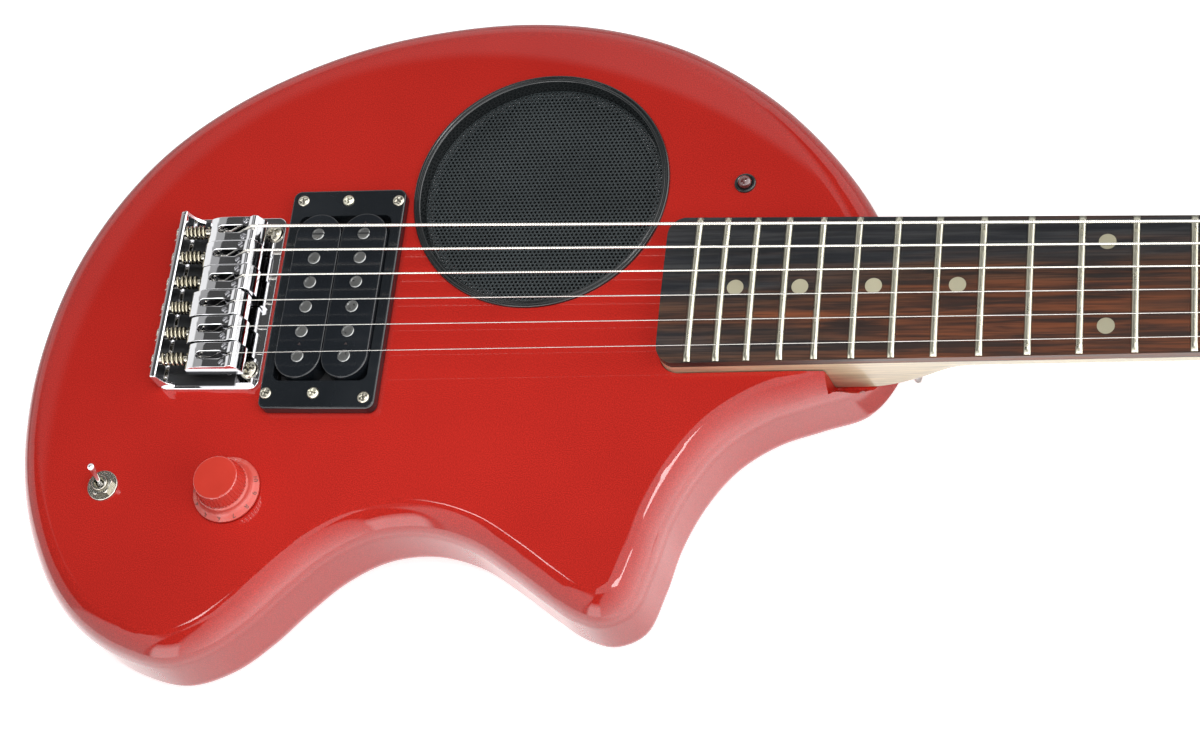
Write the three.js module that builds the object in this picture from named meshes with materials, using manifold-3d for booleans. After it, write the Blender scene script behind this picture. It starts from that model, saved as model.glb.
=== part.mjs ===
// A short-scale travel electric guitar with its amplifier and speaker built into the body.
// Millimetres. X runs from the bridge to the headstock, Y to the bass side, Z out of the face.
// The origin is on the flat back, below the point where the string scale ends at the bridge.
import * as THREE from 'three';
import { mergeVertices } from 'three/addons/utils/BufferGeometryUtils.js';
import Module from 'manifold-3d';

const wasm = await Module();
wasm.setup();

// Fits shared by all pieces
const fitGap = 0.3;
const cutOverrun = 3;
const weldTolerance = 0.001;

// Sides of round pieces, from screws to the speaker
const screwSides = 6;
const smallSides = 8;
const middleSides = 12;
const roundSides = 16;
const wideSides = 20;
const widestSides = 36;

// Strings, from the bass side to the treble side
const scaleLength = 609.6;
const bridgeStringSpacing = 10.5;
const nutStringSpacing = 7.1;
const stringDiameters = [1.17, 0.91, 0.66, 0.43, 0.33, 0.25];
const stringHeightAtBridge = 4.1;
const stringHeightAtNut = 0.5;
const stringSeat = 0.2;
const stringSides = 5;
const windingTurns = 2;
const windingSteps = 10;
const windingGap = 0.55;

// Body
const bodyThickness = 40;
const bodyLength = 327;
const bodyWidth = 262.3;
const bodyTail = 85;
const bodyRoundover = 11.5;
const bodyOutlineSteps = 86;
const bodyRoundoverSteps = 3;
// Places along the body's length from the tail, and across its width from the centre line
const bodyOutlineShares = [
  [1, -0.019], [0.995, -0.065], [0.964, -0.12], [0.915, -0.143], [0.867, -0.165],
  [0.825, -0.202], [0.794, -0.254], [0.772, -0.315], [0.759, -0.379], [0.741, -0.437],
  [0.708, -0.457], [0.676, -0.448], [0.642, -0.4225], [0.599, -0.386], [0.551, -0.351],
  [0.495, -0.334], [0.441, -0.342], [0.395, -0.373], [0.357, -0.417], [0.321, -0.465],
  [0.28, -0.506], [0.229, -0.5285], [0.176, -0.516], [0.122, -0.4815], [0.0765, -0.427],
  [0.036, -0.341], [0.0108, -0.248], [0, -0.133], [0.0052, -0.027], [0.023, 0.0745],
  [0.058, 0.1735], [0.11, 0.265], [0.18, 0.3405], [0.262, 0.3985], [0.352, 0.4405],
  [0.45, 0.4645], [0.547, 0.4705], [0.642, 0.4555], [0.737, 0.4155], [0.8245, 0.3485],
  [0.887, 0.2785], [0.9475, 0.1855], [0.982, 0.1065], [0.998, 0.038],
];

// Neck, from the end of the fretboard over the body to the nut
const boardEndFromBridge = 159.6;
const boardPastLastFret = 9;
const boardEndWidth = 57.6;
const nutWidth = 42.4;
const boardCornerRadius = 7;
const fretsAboveBody = 9.5;
const boardThickness = 4.4;
const boardRadius = 400;
const neckPocketDepth = 15.5;
const heelFlatLength = 72.4;
const heelRunoutLength = 43;
const neckDepthAtHeel = 15.2;
const neckDepthAtNut = 14.4;
const neckEdgeSquareness = 60;
const neckBackSquareness = 2.2;
const neckArcSteps = 10;
const pocketRampFromBoardEnd = 53.4;
const pocketRampRun = 7;

// Frets, as many as the board has room for
const fretHeight = 1;
const fretWidth = 2.8;
const fretCrownWidth = 1.2;
const fretEndInset = 0.5;
const fretArcSteps = 2;
const semitonesPerOctave = 12;

// Nut
const nutThickness = 3.6;
const nutAboveStrings = 0.3;

// Headstock
const headDrop = 5.1;
const headThickness = 13.5;
const headLength = 178;
const headWidth = 64.5;
const headEdgeSoftening = 1.2;
const headBlendBefore = 22;
const headBlendAfter = 17;
const headOutlineSteps = 38;
// Places along the headstock's length, and across its width from the centre line
const headOutlineShares = [
  [0, -0.329], [0.09, -0.324], [0.18, -0.327], [0.31, -0.372], [0.48, -0.432], [0.68, -0.458],
  [0.86, -0.43], [0.96, -0.33], [1, -0.17], [0.985, -0.02], [0.94, 0.075], [0.85, 0.165],
  [0.5, 0.335], [0.24, 0.47], [0.165, 0.508], [0.115, 0.48], [0.065, 0.395], [0, 0.329],
];

// Tuners, six in a line along the bass edge
const tunerRowFromNut = 30.4;
const tunerSpacing = 24.5;
const tunerRowFromCentre = 21.3;
const tunerLineDrop = 4.9;
const postRadius = 3;
const postWaistRadius = 2.4;
const postAboveHead = 8.6;
const postWaistFoot = 1.6;
const postCapHeight = 1.4;
const postSlotWidth = 1.2;
const postSlotDepth = 2.2;
const tunerStripThickness = 1.2;
const tunerStripWidth = 14;
const gearHousingLength = 15;
const gearHousingDepth = 9.5;
const gearHousingRadius = 3;
const buttonShaftRadius = 2;
const buttonShaftLength = 15.5;
const buttonShaftSeat = 4;
const buttonWidth = 17.5;
const buttonHeight = 13;
const buttonThickness = 6.5;
const buttonCollarLength = 3;
const buttonCollarRadius = 3.2;

// String tree, which holds the two thinnest strings down behind the nut
const treeStringNumbers = [4, 5];
const treeFromNut = 88;
const treeStringDrop = 7.2;
const treePostRadius = 1.9;
const treeBarThickness = 1.4;
const treeBarWidth = 3.6;
const treeOverhang = 2.2;

// Truss rod
const rodRadius = 2.5;
const rodBelowBoard = 7;
const rodFromBoardEnd = 22;
const rodNutRadius = 3.6;
const rodNutLength = 11;
const rodPocketWidth = 9;
const rodPocketLength = 20;
const rodPocketBelowRod = 4.2;

// Bridge
const bridgeLength = 39.5;
const bridgeWidth = 70.8;
const bridgeBack = 29;
const bridgePlateThickness = 2;
const bridgeCornerRadius = 3.5;
const bridgeWallThickness = 2.5;
const bridgeWallHeight = 10;
const saddleWidth = 10.1;
const saddleLength = 21.8;
const saddleRear = 17;
// How far each saddle is set forward for its string's pitch, bass side first
const saddleSettings = [0, 0.1, 0.7, -1, 0, 1.1];
const saddleBaseAbovePlate = 3;
const saddleCrestFromRear = 18.6;
const saddleRearDrop = 3.1;
const saddleFrontDrop = 2.4;
const saddleFrontRun = 1;
const saddleNoseDrop = 4.4;
const saddleEdgeBreak = 0.7;
const saddleSlotFromRear = 4;
const saddleSlotLength = 11.6;
const saddleSlotWidth = 3.6;
const saddleGrooveWidth = 2;
const saddleLegRadius = 1.2;
const saddleLegFromRear = 15.2;
const saddleLegSpread = 3.2;
const stringHoleHeight = 3.2;
const stringHoleRadius = 1;
const stringRiseFromRear = 6.8;
const ballRadius = 1.7;
const ballLength = 3;
const intonationScrewHeight = 7.5;
const intonationScrewRadius = 1.3;
const intonationScrewReach = 5.4;
const intonationHeadRadius = 2.1;
const intonationHeadLength = 2;
const springMeanRadius = 2.1;
const springWireRadius = 0.4;
const springCurls = 5;
const springStepsPerCurl = 8;
const springSides = 5;

// Pickup: two coils in a mounting ring
const pickupFromBridge = 35.3;
const ringLength = 44.5;
const ringWidth = 89.5;
const ringHeight = 4.8;
const ringCornerRadius = 3;
const ringBevel = 0.8;
const coilLength = 17.7;
const coilWidth = 67;
const coilPitch = 17.9;
const coilHeight = 12;
const coilFlangeThickness = 1.8;
const coilWindingInset = 1.1;
const pickupAboveBody = 7;
const poleRadius = 2.4;
const polePitch = 10;
const poleProud = 0.3;
const pickupBaseThickness = 1.5;
const pickupEarWidth = 14;
const pickupEarLength = 8;
const pickupCavityDepth = 24;

// Speaker, its bezel and grille
const speakerFromBridge = 107.8;
const speakerFromCentre = 45.6;
const bezelRadius = 48.6;
const bezelLipWidth = 2.4;
const bezelLipHeight = 1.3;
const bezelWallRun = 2.2;
const bezelWallThickness = 1.2;
const grilleDepth = 4.6;
const grilleThickness = 0.8;
const grilleRadius = 46.4;
const grilleOpeningPitch = 14.6;
const grilleOpeningWidth = 11.2;
const gasketThickness = 1.4;
const speakerRimThickness = 1.2;
const speakerRimRadius = 47;
const speakerRimWidth = 4.4;
const speakerChamberRadius = 44.6;
const basketThickness = 1.2;
const basketFootRadius = 25;
const basketDepth = 16;
const basketShoulder = 3;
const basketWindowCount = 6;
const basketWindowWidth = 13;
const magnetRadius = 22;
const magnetThickness = 11;
const poleRadiusOfMagnet = 10.4;
const coilFormerRadius = 11.8;
const coilFormerThickness = 0.7;
const coilFormerLength = 8;
const coneThickness = 0.8;
const coneDepth = 13;
const dustCapHeight = 3.6;
const surroundWidth = 5;
const surroundHeight = 1.7;

// Volume control
const volumeFromBridge = 5.5;
const volumeFromCentre = 75;
const knobHeight = 12;
const knobClearance = 0.6;
const knobSkirtRadius = 12.6;
const knobSkirtEdge = 0.9;
const knobShoulderRadius = 9.4;
const knobShoulderHeight = 5.6;
const knobTopRadius = 8.1;
const knobEdgeBreak = 0.7;
const knobWall = 1.8;
const knobHollowHeight = 4;
const potRadius = 12;
const potHeight = 9.5;
const potBushingRadius = 4.6;
const potNutRadius = 7;
const potNutHeight = 2.2;
const potShaftRadius = 3;
const potShaftReach = 9.6;

// Power switch
const switchBehindBridge = 43.5;
const switchFromCentre = 73.6;
const switchLength = 13;
const switchWidth = 7.6;
const switchHeight = 10;
const switchBushingRadius = 3;
const switchBushingProud = 3.6;
const switchNutRadius = 4.7;
const switchNutHeight = 1.8;
const switchWasherRadius = 5.8;
const switchWasherThickness = 0.6;
const switchBoreRadius = 2.1;
const switchBoreDepth = 3.8;
const leverPivotBelowTop = 1.7;
const leverBallRadius = 1.5;
const leverLength = 11.2;
const leverRootRadius = 0.9;
const leverTipRadius = 1.35;
const leverLean = THREE.MathUtils.degToRad(15);

// Power lamp
const lampShares = [0.8239, 0.1765];
const lampBezelRadius = 3.9;
const lampBezelHeight = 0.9;
const lampRadius = 2.5;
const lampHeight = 3.2;
const lampStemRadius = 2.9;
const lampStemLength = 9;

// Control cavity with its cover, the amplifier board and the output jack
const cavityBehindBridge = 60;
const cavityLength = 84;
const cavityNearSide = 38;
const cavityFarSide = 92;
const cavityRoof = 6;
const cavityCornerRadius = 9;
const coverThickness = 2;
const coverMargin = 6;
const coverScrewRadius = 1.4;
const coverScrewLength = 9;
const boardThicknessOfAmp = 1.6;
const ampBoardLength = 50;
const ampBoardWidth = 18;
const ampBoardFromRoof = 5;
const ampStandoffRadius = 2;
const ampChipLength = 13;
const ampChipWidth = 7;
const ampChipHeight = 3.4;
const ampCapacitorRadius = 3;
const ampCapacitorHeight = 8;
const jackFromCentre = 44;
const jackFlangeRadius = 11;
const jackFlangeThickness = 2;
const jackSeatInset = 1.6;
const jackBarrelRadius = 5.6;
const jackBarrelLength = 26;
const jackSocketRadius = 3.3;
const jackSocketDepth = 23;
const ductRadius = 3;

// Battery compartment
const batteryLength = 48.5;
const batteryWidth = 26.5;
const batteryThickness = 17.5;
const batteryFromBridge = 106;
const batteryFromCentre = 38;
const batteryTerminalRadius = 3;
const batteryTerminalHeight = 2;
const batteryTerminalSpread = 6.4;
const batteryCoverMargin = 4;
const batteryCoverScrewInset = 2.6;

// Neck plate and its screws
const neckPlateLength = 46;
const neckPlateWidth = 44;
const neckPlateThickness = 2;
const neckPlateCornerRadius = 6;
const neckPlateFromBoardEnd = 14;
const neckScrewRadius = 2;
const neckScrewLength = 36;
const neckScrewInset = 7;

// Strap buttons
const strapFootRadius = 6.2;
const strapWaistRadius = 3.4;
const strapHeadRadius = 6.6;
const strapFootThickness = 1.8;
const strapHeadThickness = 2.2;
const strapButtonHeight = 9.4;
const strapScrewRadius = 1.6;
const strapScrewLength = 18;
const strapButtonZ = 12.5;
const strapSeatInset = 1.2;
const tailStrapShares = [0.058, 0.1735];
const tailStrapDirection = new THREE.Vector3(-0.869, 0.495, 0).normalize();
const heelStrapFromCentre = 13;

// Levels and places that follow from the sizes above
const fretTopZ = bodyThickness + fretsAboveBody;
const boardTopZ = fretTopZ - fretHeight;
const neckTopZ = boardTopZ - boardThickness;
const heelBottomZ = bodyThickness - neckPocketDepth;
const fretX = (fret) => scaleLength / 2 ** (fret / semitonesPerOctave);
const lastFretShare = (boardEndFromBridge + boardPastLastFret) / scaleLength;
const fretCount = Math.floor(-semitonesPerOctave * Math.log2(lastFretShare));
const pocketRampX = boardEndFromBridge + pocketRampFromBoardEnd;
const neckSlope = (boardEndWidth - nutWidth) / (scaleLength - boardEndFromBridge);
const nutEndX = scaleLength + nutThickness;
const headTopZ = neckTopZ - headDrop;
const headBottomZ = headTopZ - headThickness;
const plateTopZ = bodyThickness + bridgePlateThickness;
const wallInnerX = bridgeWallThickness - bridgeBack;
const cavityRoofZ = bodyThickness - cavityRoof;
const stringNumbers = stringDiameters.map((_, index) => index);
const middleString = (stringDiameters.length - 1) / 2;
const quarterTurn = Math.PI / 2;
const speakerCentre = [speakerFromBridge, speakerFromCentre];
const volumeCentre = [volumeFromBridge, -volumeFromCentre];
const switchCentre = [-switchBehindBridge, -switchFromCentre];
const bodyPoint = ([along, sideways]) => [along * bodyLength - bodyTail, sideways * bodyWidth];
const lampCentre = bodyPoint(lampShares);
const grilleTopZ = bodyThickness - grilleDepth;
const gasketTopZ = grilleTopZ - grilleThickness;
const speakerSeatZ = gasketTopZ - gasketThickness - speakerRimThickness;

const halfNeckWidth = (x) => (boardEndWidth - neckSlope * (x - boardEndFromBridge)) / 2;
const archDrop = (y) => y ** 2 / (2 * boardRadius);
const bridgeStringY = (index) => (middleString - index) * bridgeStringSpacing;
const nutStringY = (index) => (middleString - index) * nutStringSpacing;
const stringRadius = (index) => stringDiameters[index] / 2;

// Colours and finishes
const finish = (color, roughness, metalness) =>
  new THREE.MeshStandardMaterial({ color, roughness, metalness });
const redGloss = finish(0xb3241e, 0.12, 0);
const maple = finish(0xe6d2ac, 0.4, 0);
const rosewood = finish(0x3d241a, 0.55, 0);
const boneWhite = finish(0xe9e4d4, 0.45, 0);
const chrome = finish(0xd9dade, 0.12, 1);
const nickel = finish(0xbfbcb0, 0.25, 1);
const steel = finish(0x9a9c9f, 0.4, 1);
const wire = finish(0xd8d4c6, 0.3, 1);
const blackPlastic = finish(0x131314, 0.45, 0);
const blackMetal = finish(0x0c0c0d, 0.6, 0.4);
const paperCone = finish(0x1d1c1c, 0.9, 0);
const redPlastic = finish(0xd8352b, 0.3, 0);
const lampRed = finish(0x6b1512, 0.15, 0);
const boardGreen = finish(0x1d4d2c, 0.6, 0);
const batteryBlack = finish(0x202225, 0.4, 0.2);

// A closed geometry as a solid that can be joined and cut, with its faces turned outwards.
function solid(geometry) {
  const bare = new THREE.BufferGeometry();
  const source = geometry.index ? geometry.toNonIndexed() : geometry;
  bare.setAttribute('position', source.getAttribute('position').clone());
  const merged = mergeVertices(bare, weldTolerance);
  const place = merged.attributes.position;
  const [a, b, c] = [new THREE.Vector3(), new THREE.Vector3(), new THREE.Vector3()];
  const corners = [];
  let volume = 0;
  for (let i = 0; i < merged.index.count; i += 3) {
    const [p, q, r] = [0, 1, 2].map((step) => merged.index.getX(i + step));
    if (p === q || q === r || r === p) continue;
    corners.push([p, q, r]);
    a.fromBufferAttribute(place, p);
    b.fromBufferAttribute(place, q);
    c.fromBufferAttribute(place, r);
    volume += a.dot(b.cross(c));
  }
  const outward = volume < 0 ? corners.map(([p, q, r]) => [p, r, q]) : corners;
  return new wasm.Manifold(new wasm.Mesh({
    numProp: 3,
    vertProperties: new Float32Array(place.array),
    triVerts: new Uint32Array(outward.flat()),
  }));
}

const joined = (solids) => solids.reduce((sum, next) => sum.add(next));
const cutBy = (base, cutters) => cutters.reduce((rest, next) => rest.subtract(next), base);

// A named mesh of a finished solid.
function piece(name, shape, material) {
  const raw = shape.getMesh();
  const geometry = new THREE.BufferGeometry();
  geometry.setAttribute('position', new THREE.BufferAttribute(raw.vertProperties, 3));
  geometry.setIndex(new THREE.BufferAttribute(raw.triVerts, 1));
  geometry.computeVertexNormals();
  const made = new THREE.Mesh(geometry, material);
  made.name = name;
  return made;
}

// Solids from outlines: up along Z, across along Y, along X.
function upright(shape, low, high, curveSegments = 2) {
  const geometry = new THREE.ExtrudeGeometry(shape, {
    depth: high - low, bevelEnabled: false, curveSegments,
  });
  return solid(geometry.translate(0, 0, low));
}

function across(shape, low, high, curveSegments = 2) {
  const geometry = new THREE.ExtrudeGeometry(shape, {
    depth: high - low, bevelEnabled: false, curveSegments,
  });
  return solid(geometry.rotateX(quarterTurn).translate(0, high, 0));
}

function block(lowX, highX, lowY, highY, lowZ, highZ) {
  const geometry = new THREE.BoxGeometry(highX - lowX, highY - lowY, highZ - lowZ);
  return solid(geometry.translate((lowX + highX) / 2, (lowY + highY) / 2, (lowZ + highZ) / 2));
}

// A round bar between two points.
function bar(radius, from, to, sides = roundSides) {
  const start = new THREE.Vector3(...from);
  const span = new THREE.Vector3(...to).sub(start);
  const geometry = new THREE.CylinderGeometry(radius, radius, span.length(), sides);
  const turn = new THREE.Quaternion().setFromUnitVectors(
    new THREE.Vector3(0, 1, 0), span.clone().normalize());
  return solid(geometry.applyQuaternion(turn).translate(...start.addScaledVector(span, 1 / 2)));
}

const post = (radius, [x, y], low, high, sides = middleSides) =>
  bar(radius, [x, y, low], [x, y, high], sides);

// A profile of radius and height points turned about a vertical axis.
function turned(profile, [x, y], sides) {
  const points = profile.map(([radius, height]) => new THREE.Vector2(radius, height));
  if (profile[0][0] > 0) points.push(points[0].clone());
  return solid(new THREE.LatheGeometry(points, sides).rotateX(quarterTurn).translate(x, y, 0));
}

// The same, turned about any axis: height is measured from a base point along a direction.
function turnedAlong(profile, base, direction, sides) {
  const points = profile.map(([radius, height]) => new THREE.Vector2(radius, height));
  const turn = new THREE.Quaternion().setFromUnitVectors(new THREE.Vector3(0, 1, 0), direction);
  const geometry = new THREE.LatheGeometry(points, sides).applyQuaternion(turn);
  return solid(geometry.translate(base.x, base.y, base.z));
}

function shapeOf(points) {
  return new THREE.Shape(points.map(([x, y]) => new THREE.Vector2(x, y)));
}

function roundedRectangle(lowX, highX, lowY, highY, radius) {
  const shape = new THREE.Shape();
  shape.absarc(highX - radius, highY - radius, radius, 0, quarterTurn);
  shape.absarc(lowX + radius, highY - radius, radius, quarterTurn, Math.PI);
  shape.absarc(lowX + radius, lowY + radius, radius, Math.PI, Math.PI + quarterTurn);
  shape.absarc(highX - radius, lowY + radius, radius, Math.PI + quarterTurn, 2 * Math.PI);
  return shape;
}

// A long slot or pad with half-round ends at both ends of Y.
function stadium(x, y, width, length) {
  const shape = new THREE.Shape();
  const reach = (length - width) / 2;
  shape.absarc(x, y + reach, width / 2, 0, Math.PI);
  shape.absarc(x, y - reach, width / 2, Math.PI, 2 * Math.PI);
  return shape;
}

function smoothShape(points, steps) {
  const places = points.map(([x, y]) => new THREE.Vector3(x, y, 0));
  const curve = new THREE.CatmullRomCurve3(places, true, 'centripetal');
  return shapeOf(curve.getSpacedPoints(steps).slice(1).map((place) => [place.x, place.y]));
}

// A solid skinned over convex rings of equal length.
function lofted(rings) {
  const places = rings.flat();
  const size = rings[0].length;
  const index = [];
  rings.slice(1).forEach((_, row) => {
    for (let k = 0; k < size; k += 1) {
      const [near, next] = [row * size + k, row * size + (k + 1) % size];
      index.push(near, next, near + size, next, next + size, near + size);
    }
  });
  const last = (rings.length - 1) * size;
  for (let k = 1; k < size - 1; k += 1) {
    index.push(0, k + 1, k, last, last + k, last + k + 1);
  }
  const geometry = new THREE.BufferGeometry().setFromPoints(places);
  geometry.setIndex(index);
  return solid(geometry);
}

// One unbroken tube through a list of points, with flat ends.
function tubeThrough(points, radius, sides) {
  const normal = new THREE.Vector3(0, 0, 1);
  const rings = points.map((place, row) => {
    const before = points[Math.max(row - 1, 0)];
    const after = points[Math.min(row + 1, points.length - 1)];
    const tangent = after.clone().sub(before).normalize();
    normal.addScaledVector(tangent, -normal.dot(tangent)).normalize();
    const side = tangent.clone().cross(normal);
    return Array.from({ length: sides }, (_, k) => {
      const angle = (2 * Math.PI * k) / sides;
      return place.clone()
        .addScaledVector(normal, radius * Math.cos(angle))
        .addScaledVector(side, radius * Math.sin(angle));
    });
  });
  return lofted(rings);
}

// The least clear space between the turns of a wound tube, measured on its points.
function leastTurnGap(points, diameter, stepsPerTurn) {
  const apart = Math.floor((stepsPerTurn * 3) / 4);
  let least = Infinity;
  points.forEach((place, i) => {
    points.slice(i + apart).forEach((other) => {
      least = Math.min(least, place.distanceTo(other) - diameter);
    });
  });
  return least;
}

// Body
function bodyBlank() {
  const outline = smoothShape(bodyOutlineShares.map(bodyPoint), bodyOutlineSteps);
  const geometry = new THREE.ExtrudeGeometry(outline, {
    depth: bodyThickness - 2 * bodyRoundover,
    bevelEnabled: true,
    bevelThickness: bodyRoundover,
    bevelSize: bodyRoundover,
    bevelOffset: -bodyRoundover,
    bevelSegments: bodyRoundoverSteps,
  });
  return solid(geometry.translate(0, 0, bodyRoundover));
}

// The neck's plan, with round corners at the body end, grown all round by a clearance.
function neckPlan(endX, clearance) {
  const shape = new THREE.Shape();
  const startX = boardEndFromBridge - clearance;
  const halfStart = halfNeckWidth(boardEndFromBridge) + clearance;
  const halfEnd = halfNeckWidth(endX) + clearance;
  const radius = boardCornerRadius + clearance;
  shape.moveTo(endX, -halfEnd);
  shape.lineTo(endX, halfEnd);
  shape.absarc(startX + radius, halfStart - radius, radius, quarterTurn, Math.PI);
  shape.absarc(startX + radius, radius - halfStart, radius, Math.PI, Math.PI + quarterTurn);
  return shape;
}

// The body stops short of the neck's treble side on a steep ramp, so the heel shows there.
function trebleRamp() {
  const rampFootX = pocketRampX + pocketRampRun;
  const topZ = bodyThickness + cutOverrun;
  const farX = bodyLength - bodyTail + cutOverrun;
  const profile = shapeOf([
    [pocketRampX - pocketRampRun / 2, topZ], [pocketRampX, bodyThickness - bodyRoundover / 3],
    [rampFootX, heelBottomZ], [farX, heelBottomZ], [farX, topZ],
  ]);
  return across(profile, -bodyWidth / 2, -halfNeckWidth(farX) + boardCornerRadius);
}

function neckPocket() {
  const endX = bodyLength - bodyTail + cutOverrun;
  return upright(neckPlan(endX, fitGap), heelBottomZ, bodyThickness + cutOverrun, 3)
    .add(trebleRamp());
}

function neckScrewPlaces() {
  const firstX = boardEndFromBridge + neckPlateFromBoardEnd + neckScrewInset;
  const lastX = firstX + neckPlateLength - 2 * neckScrewInset;
  const sideY = neckPlateWidth / 2 - neckScrewInset;
  return [[firstX, sideY], [lastX, sideY], [firstX, -sideY], [lastX, -sideY]];
}

function neckPlateShape(clearance) {
  const lowX = boardEndFromBridge + neckPlateFromBoardEnd;
  const halfWidth = neckPlateWidth / 2 + clearance;
  return roundedRectangle(lowX - clearance, lowX + neckPlateLength + clearance,
    -halfWidth, halfWidth, neckPlateCornerRadius + clearance);
}

function neckPlateCuts() {
  const seat = upright(neckPlateShape(fitGap), -cutOverrun, neckPlateThickness + fitGap);
  const holes = neckScrewPlaces().map((place) =>
    post(neckScrewRadius + fitGap, place, 0, heelBottomZ + cutOverrun, screwSides));
  return [seat, ...holes];
}

function pickupCavity() {
  const halfLength = coilLength / 2 + coilPitch / 2 + 2 * fitGap;
  const halfWidth = coilWidth / 2 + 2 * fitGap;
  const low = bodyThickness - pickupCavityDepth;
  const high = bodyThickness + cutOverrun;
  const earReach = halfWidth + pickupEarLength;
  const halfEar = pickupEarWidth / 2 + 2 * fitGap;
  const hole = block(pickupFromBridge - halfLength, pickupFromBridge + halfLength,
    -halfWidth, halfWidth, low, high);
  const ears = block(pickupFromBridge - halfEar, pickupFromBridge + halfEar,
    -earReach, earReach, low, high);
  return hole.add(ears);
}

function speakerChamber() {
  return turned([
    [0, bodyThickness + cutOverrun], [speakerRimRadius + 2 * fitGap, bodyThickness + cutOverrun],
    [speakerRimRadius + 2 * fitGap, speakerSeatZ], [speakerChamberRadius, speakerSeatZ],
    [speakerChamberRadius, speakerFloorZ()], [0, speakerFloorZ()],
  ], speakerCentre, widestSides);
}

// The magnet stands just clear of the chamber's floor.
const magnetBottomZ = () => speakerSeatZ - basketDepth - magnetThickness;
const speakerFloorZ = () => magnetBottomZ() - fitGap;

function controlCavityShape(clearance) {
  return roundedRectangle(-cavityBehindBridge - clearance,
    cavityLength - cavityBehindBridge + clearance,
    -cavityFarSide - clearance, -cavityNearSide + clearance, cavityCornerRadius + clearance);
}

function controlCavity() {
  const seat = coverThickness + 2 * fitGap;
  const room = upright(controlCavityShape(0), -cutOverrun, cavityRoofZ);
  const rebate = upright(controlCavityShape(coverMargin + fitGap), -cutOverrun, seat);
  return [room, rebate,
    post(potBushingRadius + fitGap, volumeCentre, 0, bodyThickness + cutOverrun),
    post(switchBushingRadius + fitGap, switchCentre, 0, bodyThickness + cutOverrun),
    ...coverScrewPlaces().map((place) =>
      post(coverScrewRadius + fitGap, place, 0, coverScrewLength + 2 * fitGap, screwSides))];
}

function coverScrewPlaces() {
  const lowX = -cavityBehindBridge - coverMargin / 2;
  const highX = cavityLength - cavityBehindBridge + coverMargin / 2;
  const middleY = -(cavityNearSide + cavityFarSide) / 2;
  return [[lowX, middleY], [highX, middleY]];
}

const batteryRoom = (margin) => {
  const halfLength = batteryLength / 2 + batteryTerminalHeight / 2 + margin;
  const halfWidth = batteryWidth / 2 + margin;
  return [batteryFromBridge - halfLength, batteryFromBridge + halfLength,
    -batteryFromCentre - halfWidth, -batteryFromCentre + halfWidth];
};

function batteryCavity() {
  const [lowX, highX, lowY, highY] = batteryRoom(2 * fitGap);
  const floor = coverThickness + 3 * fitGap;
  const room = block(lowX, highX, lowY, highY, -cutOverrun, floor + batteryThickness + fitGap);
  const rebate = upright(batteryCoverShape(fitGap), -cutOverrun, coverThickness + 2 * fitGap);
  const holes = batteryScrewPlaces().map((place) =>
    post(coverScrewRadius + fitGap, place, 0, coverScrewLength + 2 * fitGap, screwSides));
  return [room, rebate, ...holes];
}

function batteryCoverShape(clearance) {
  const [lowX, highX, lowY, highY] = batteryRoom(2 * fitGap);
  const reach = batteryCoverMargin + 2 * batteryCoverScrewInset;
  return roundedRectangle(lowX - reach - clearance, highX + reach + clearance,
    lowY - batteryCoverMargin - clearance, highY + batteryCoverMargin + clearance,
    batteryCoverMargin + clearance);
}

function batteryScrewPlaces() {
  const [lowX, highX] = batteryRoom(2 * fitGap);
  const reach = batteryCoverMargin / 2 + batteryCoverScrewInset;
  return [[lowX - reach, -batteryFromCentre], [highX + reach, -batteryFromCentre]];
}

// Bored ways for the wires between the speaker, lamp, pickup, battery and control cavity.
function wireDucts() {
  const level = bodyThickness / 2;
  const [lampX, lampY] = lampCentre;
  const [, , , batteryHighY] = batteryRoom(0);
  const batteryLevel = coverThickness + 2 * ductRadius;
  return [
    bar(ductRadius, [lampX - speakerChamberRadius, lampY, level], [lampX, lampY, level],
      screwSides),
    bar(ductRadius, [speakerFromBridge, speakerFromCentre, level],
      [pickupFromBridge, 0, level], screwSides),
    bar(ductRadius, [pickupFromBridge - coilPitch, -coilWidth / 3, level],
      [pickupFromBridge - coilPitch, -cavityNearSide - 2 * ductRadius, level], screwSides),
    bar(ductRadius, [batteryFromBridge, batteryHighY - 2 * ductRadius, batteryLevel],
      [speakerFromBridge, speakerFromCentre, batteryLevel + ductRadius], screwSides),
  ];
}

const jackLevel = bodyThickness / 2;
const tailX = -bodyTail;
const jackSeatX = tailX + jackSeatInset;

function jackCuts() {
  const outside = tailX - cutOverrun;
  return [
    bar(jackFlangeRadius + fitGap, [outside, -jackFromCentre, jackLevel],
      [jackSeatX, -jackFromCentre, jackLevel], roundSides),
    bar(jackBarrelRadius + fitGap, [outside, -jackFromCentre, jackLevel],
      [-cavityBehindBridge + cutOverrun, -jackFromCentre, jackLevel]),
  ];
}

function tailStrapSeat() {
  const [x, y] = bodyPoint(tailStrapShares);
  return new THREE.Vector3(x, y, strapButtonZ).addScaledVector(tailStrapDirection, -strapSeatInset);
}

const heelStrapDirection = new THREE.Vector3(1, 0, 0);
const heelStrapSeat = () =>
  new THREE.Vector3(bodyLength - bodyTail - 3 * strapSeatInset, -heelStrapFromCentre, strapButtonZ);

function strapCuts(seat, direction) {
  const outside = seat.clone().addScaledVector(direction, bodyRoundover);
  const bottom = seat.clone().addScaledVector(direction, -strapScrewLength - fitGap);
  return [bar(strapFootRadius + 2 * fitGap, seat.toArray(), outside.toArray(), middleSides),
    bar(strapScrewRadius + fitGap, bottom.toArray(), outside.toArray(), screwSides)];
}

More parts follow.
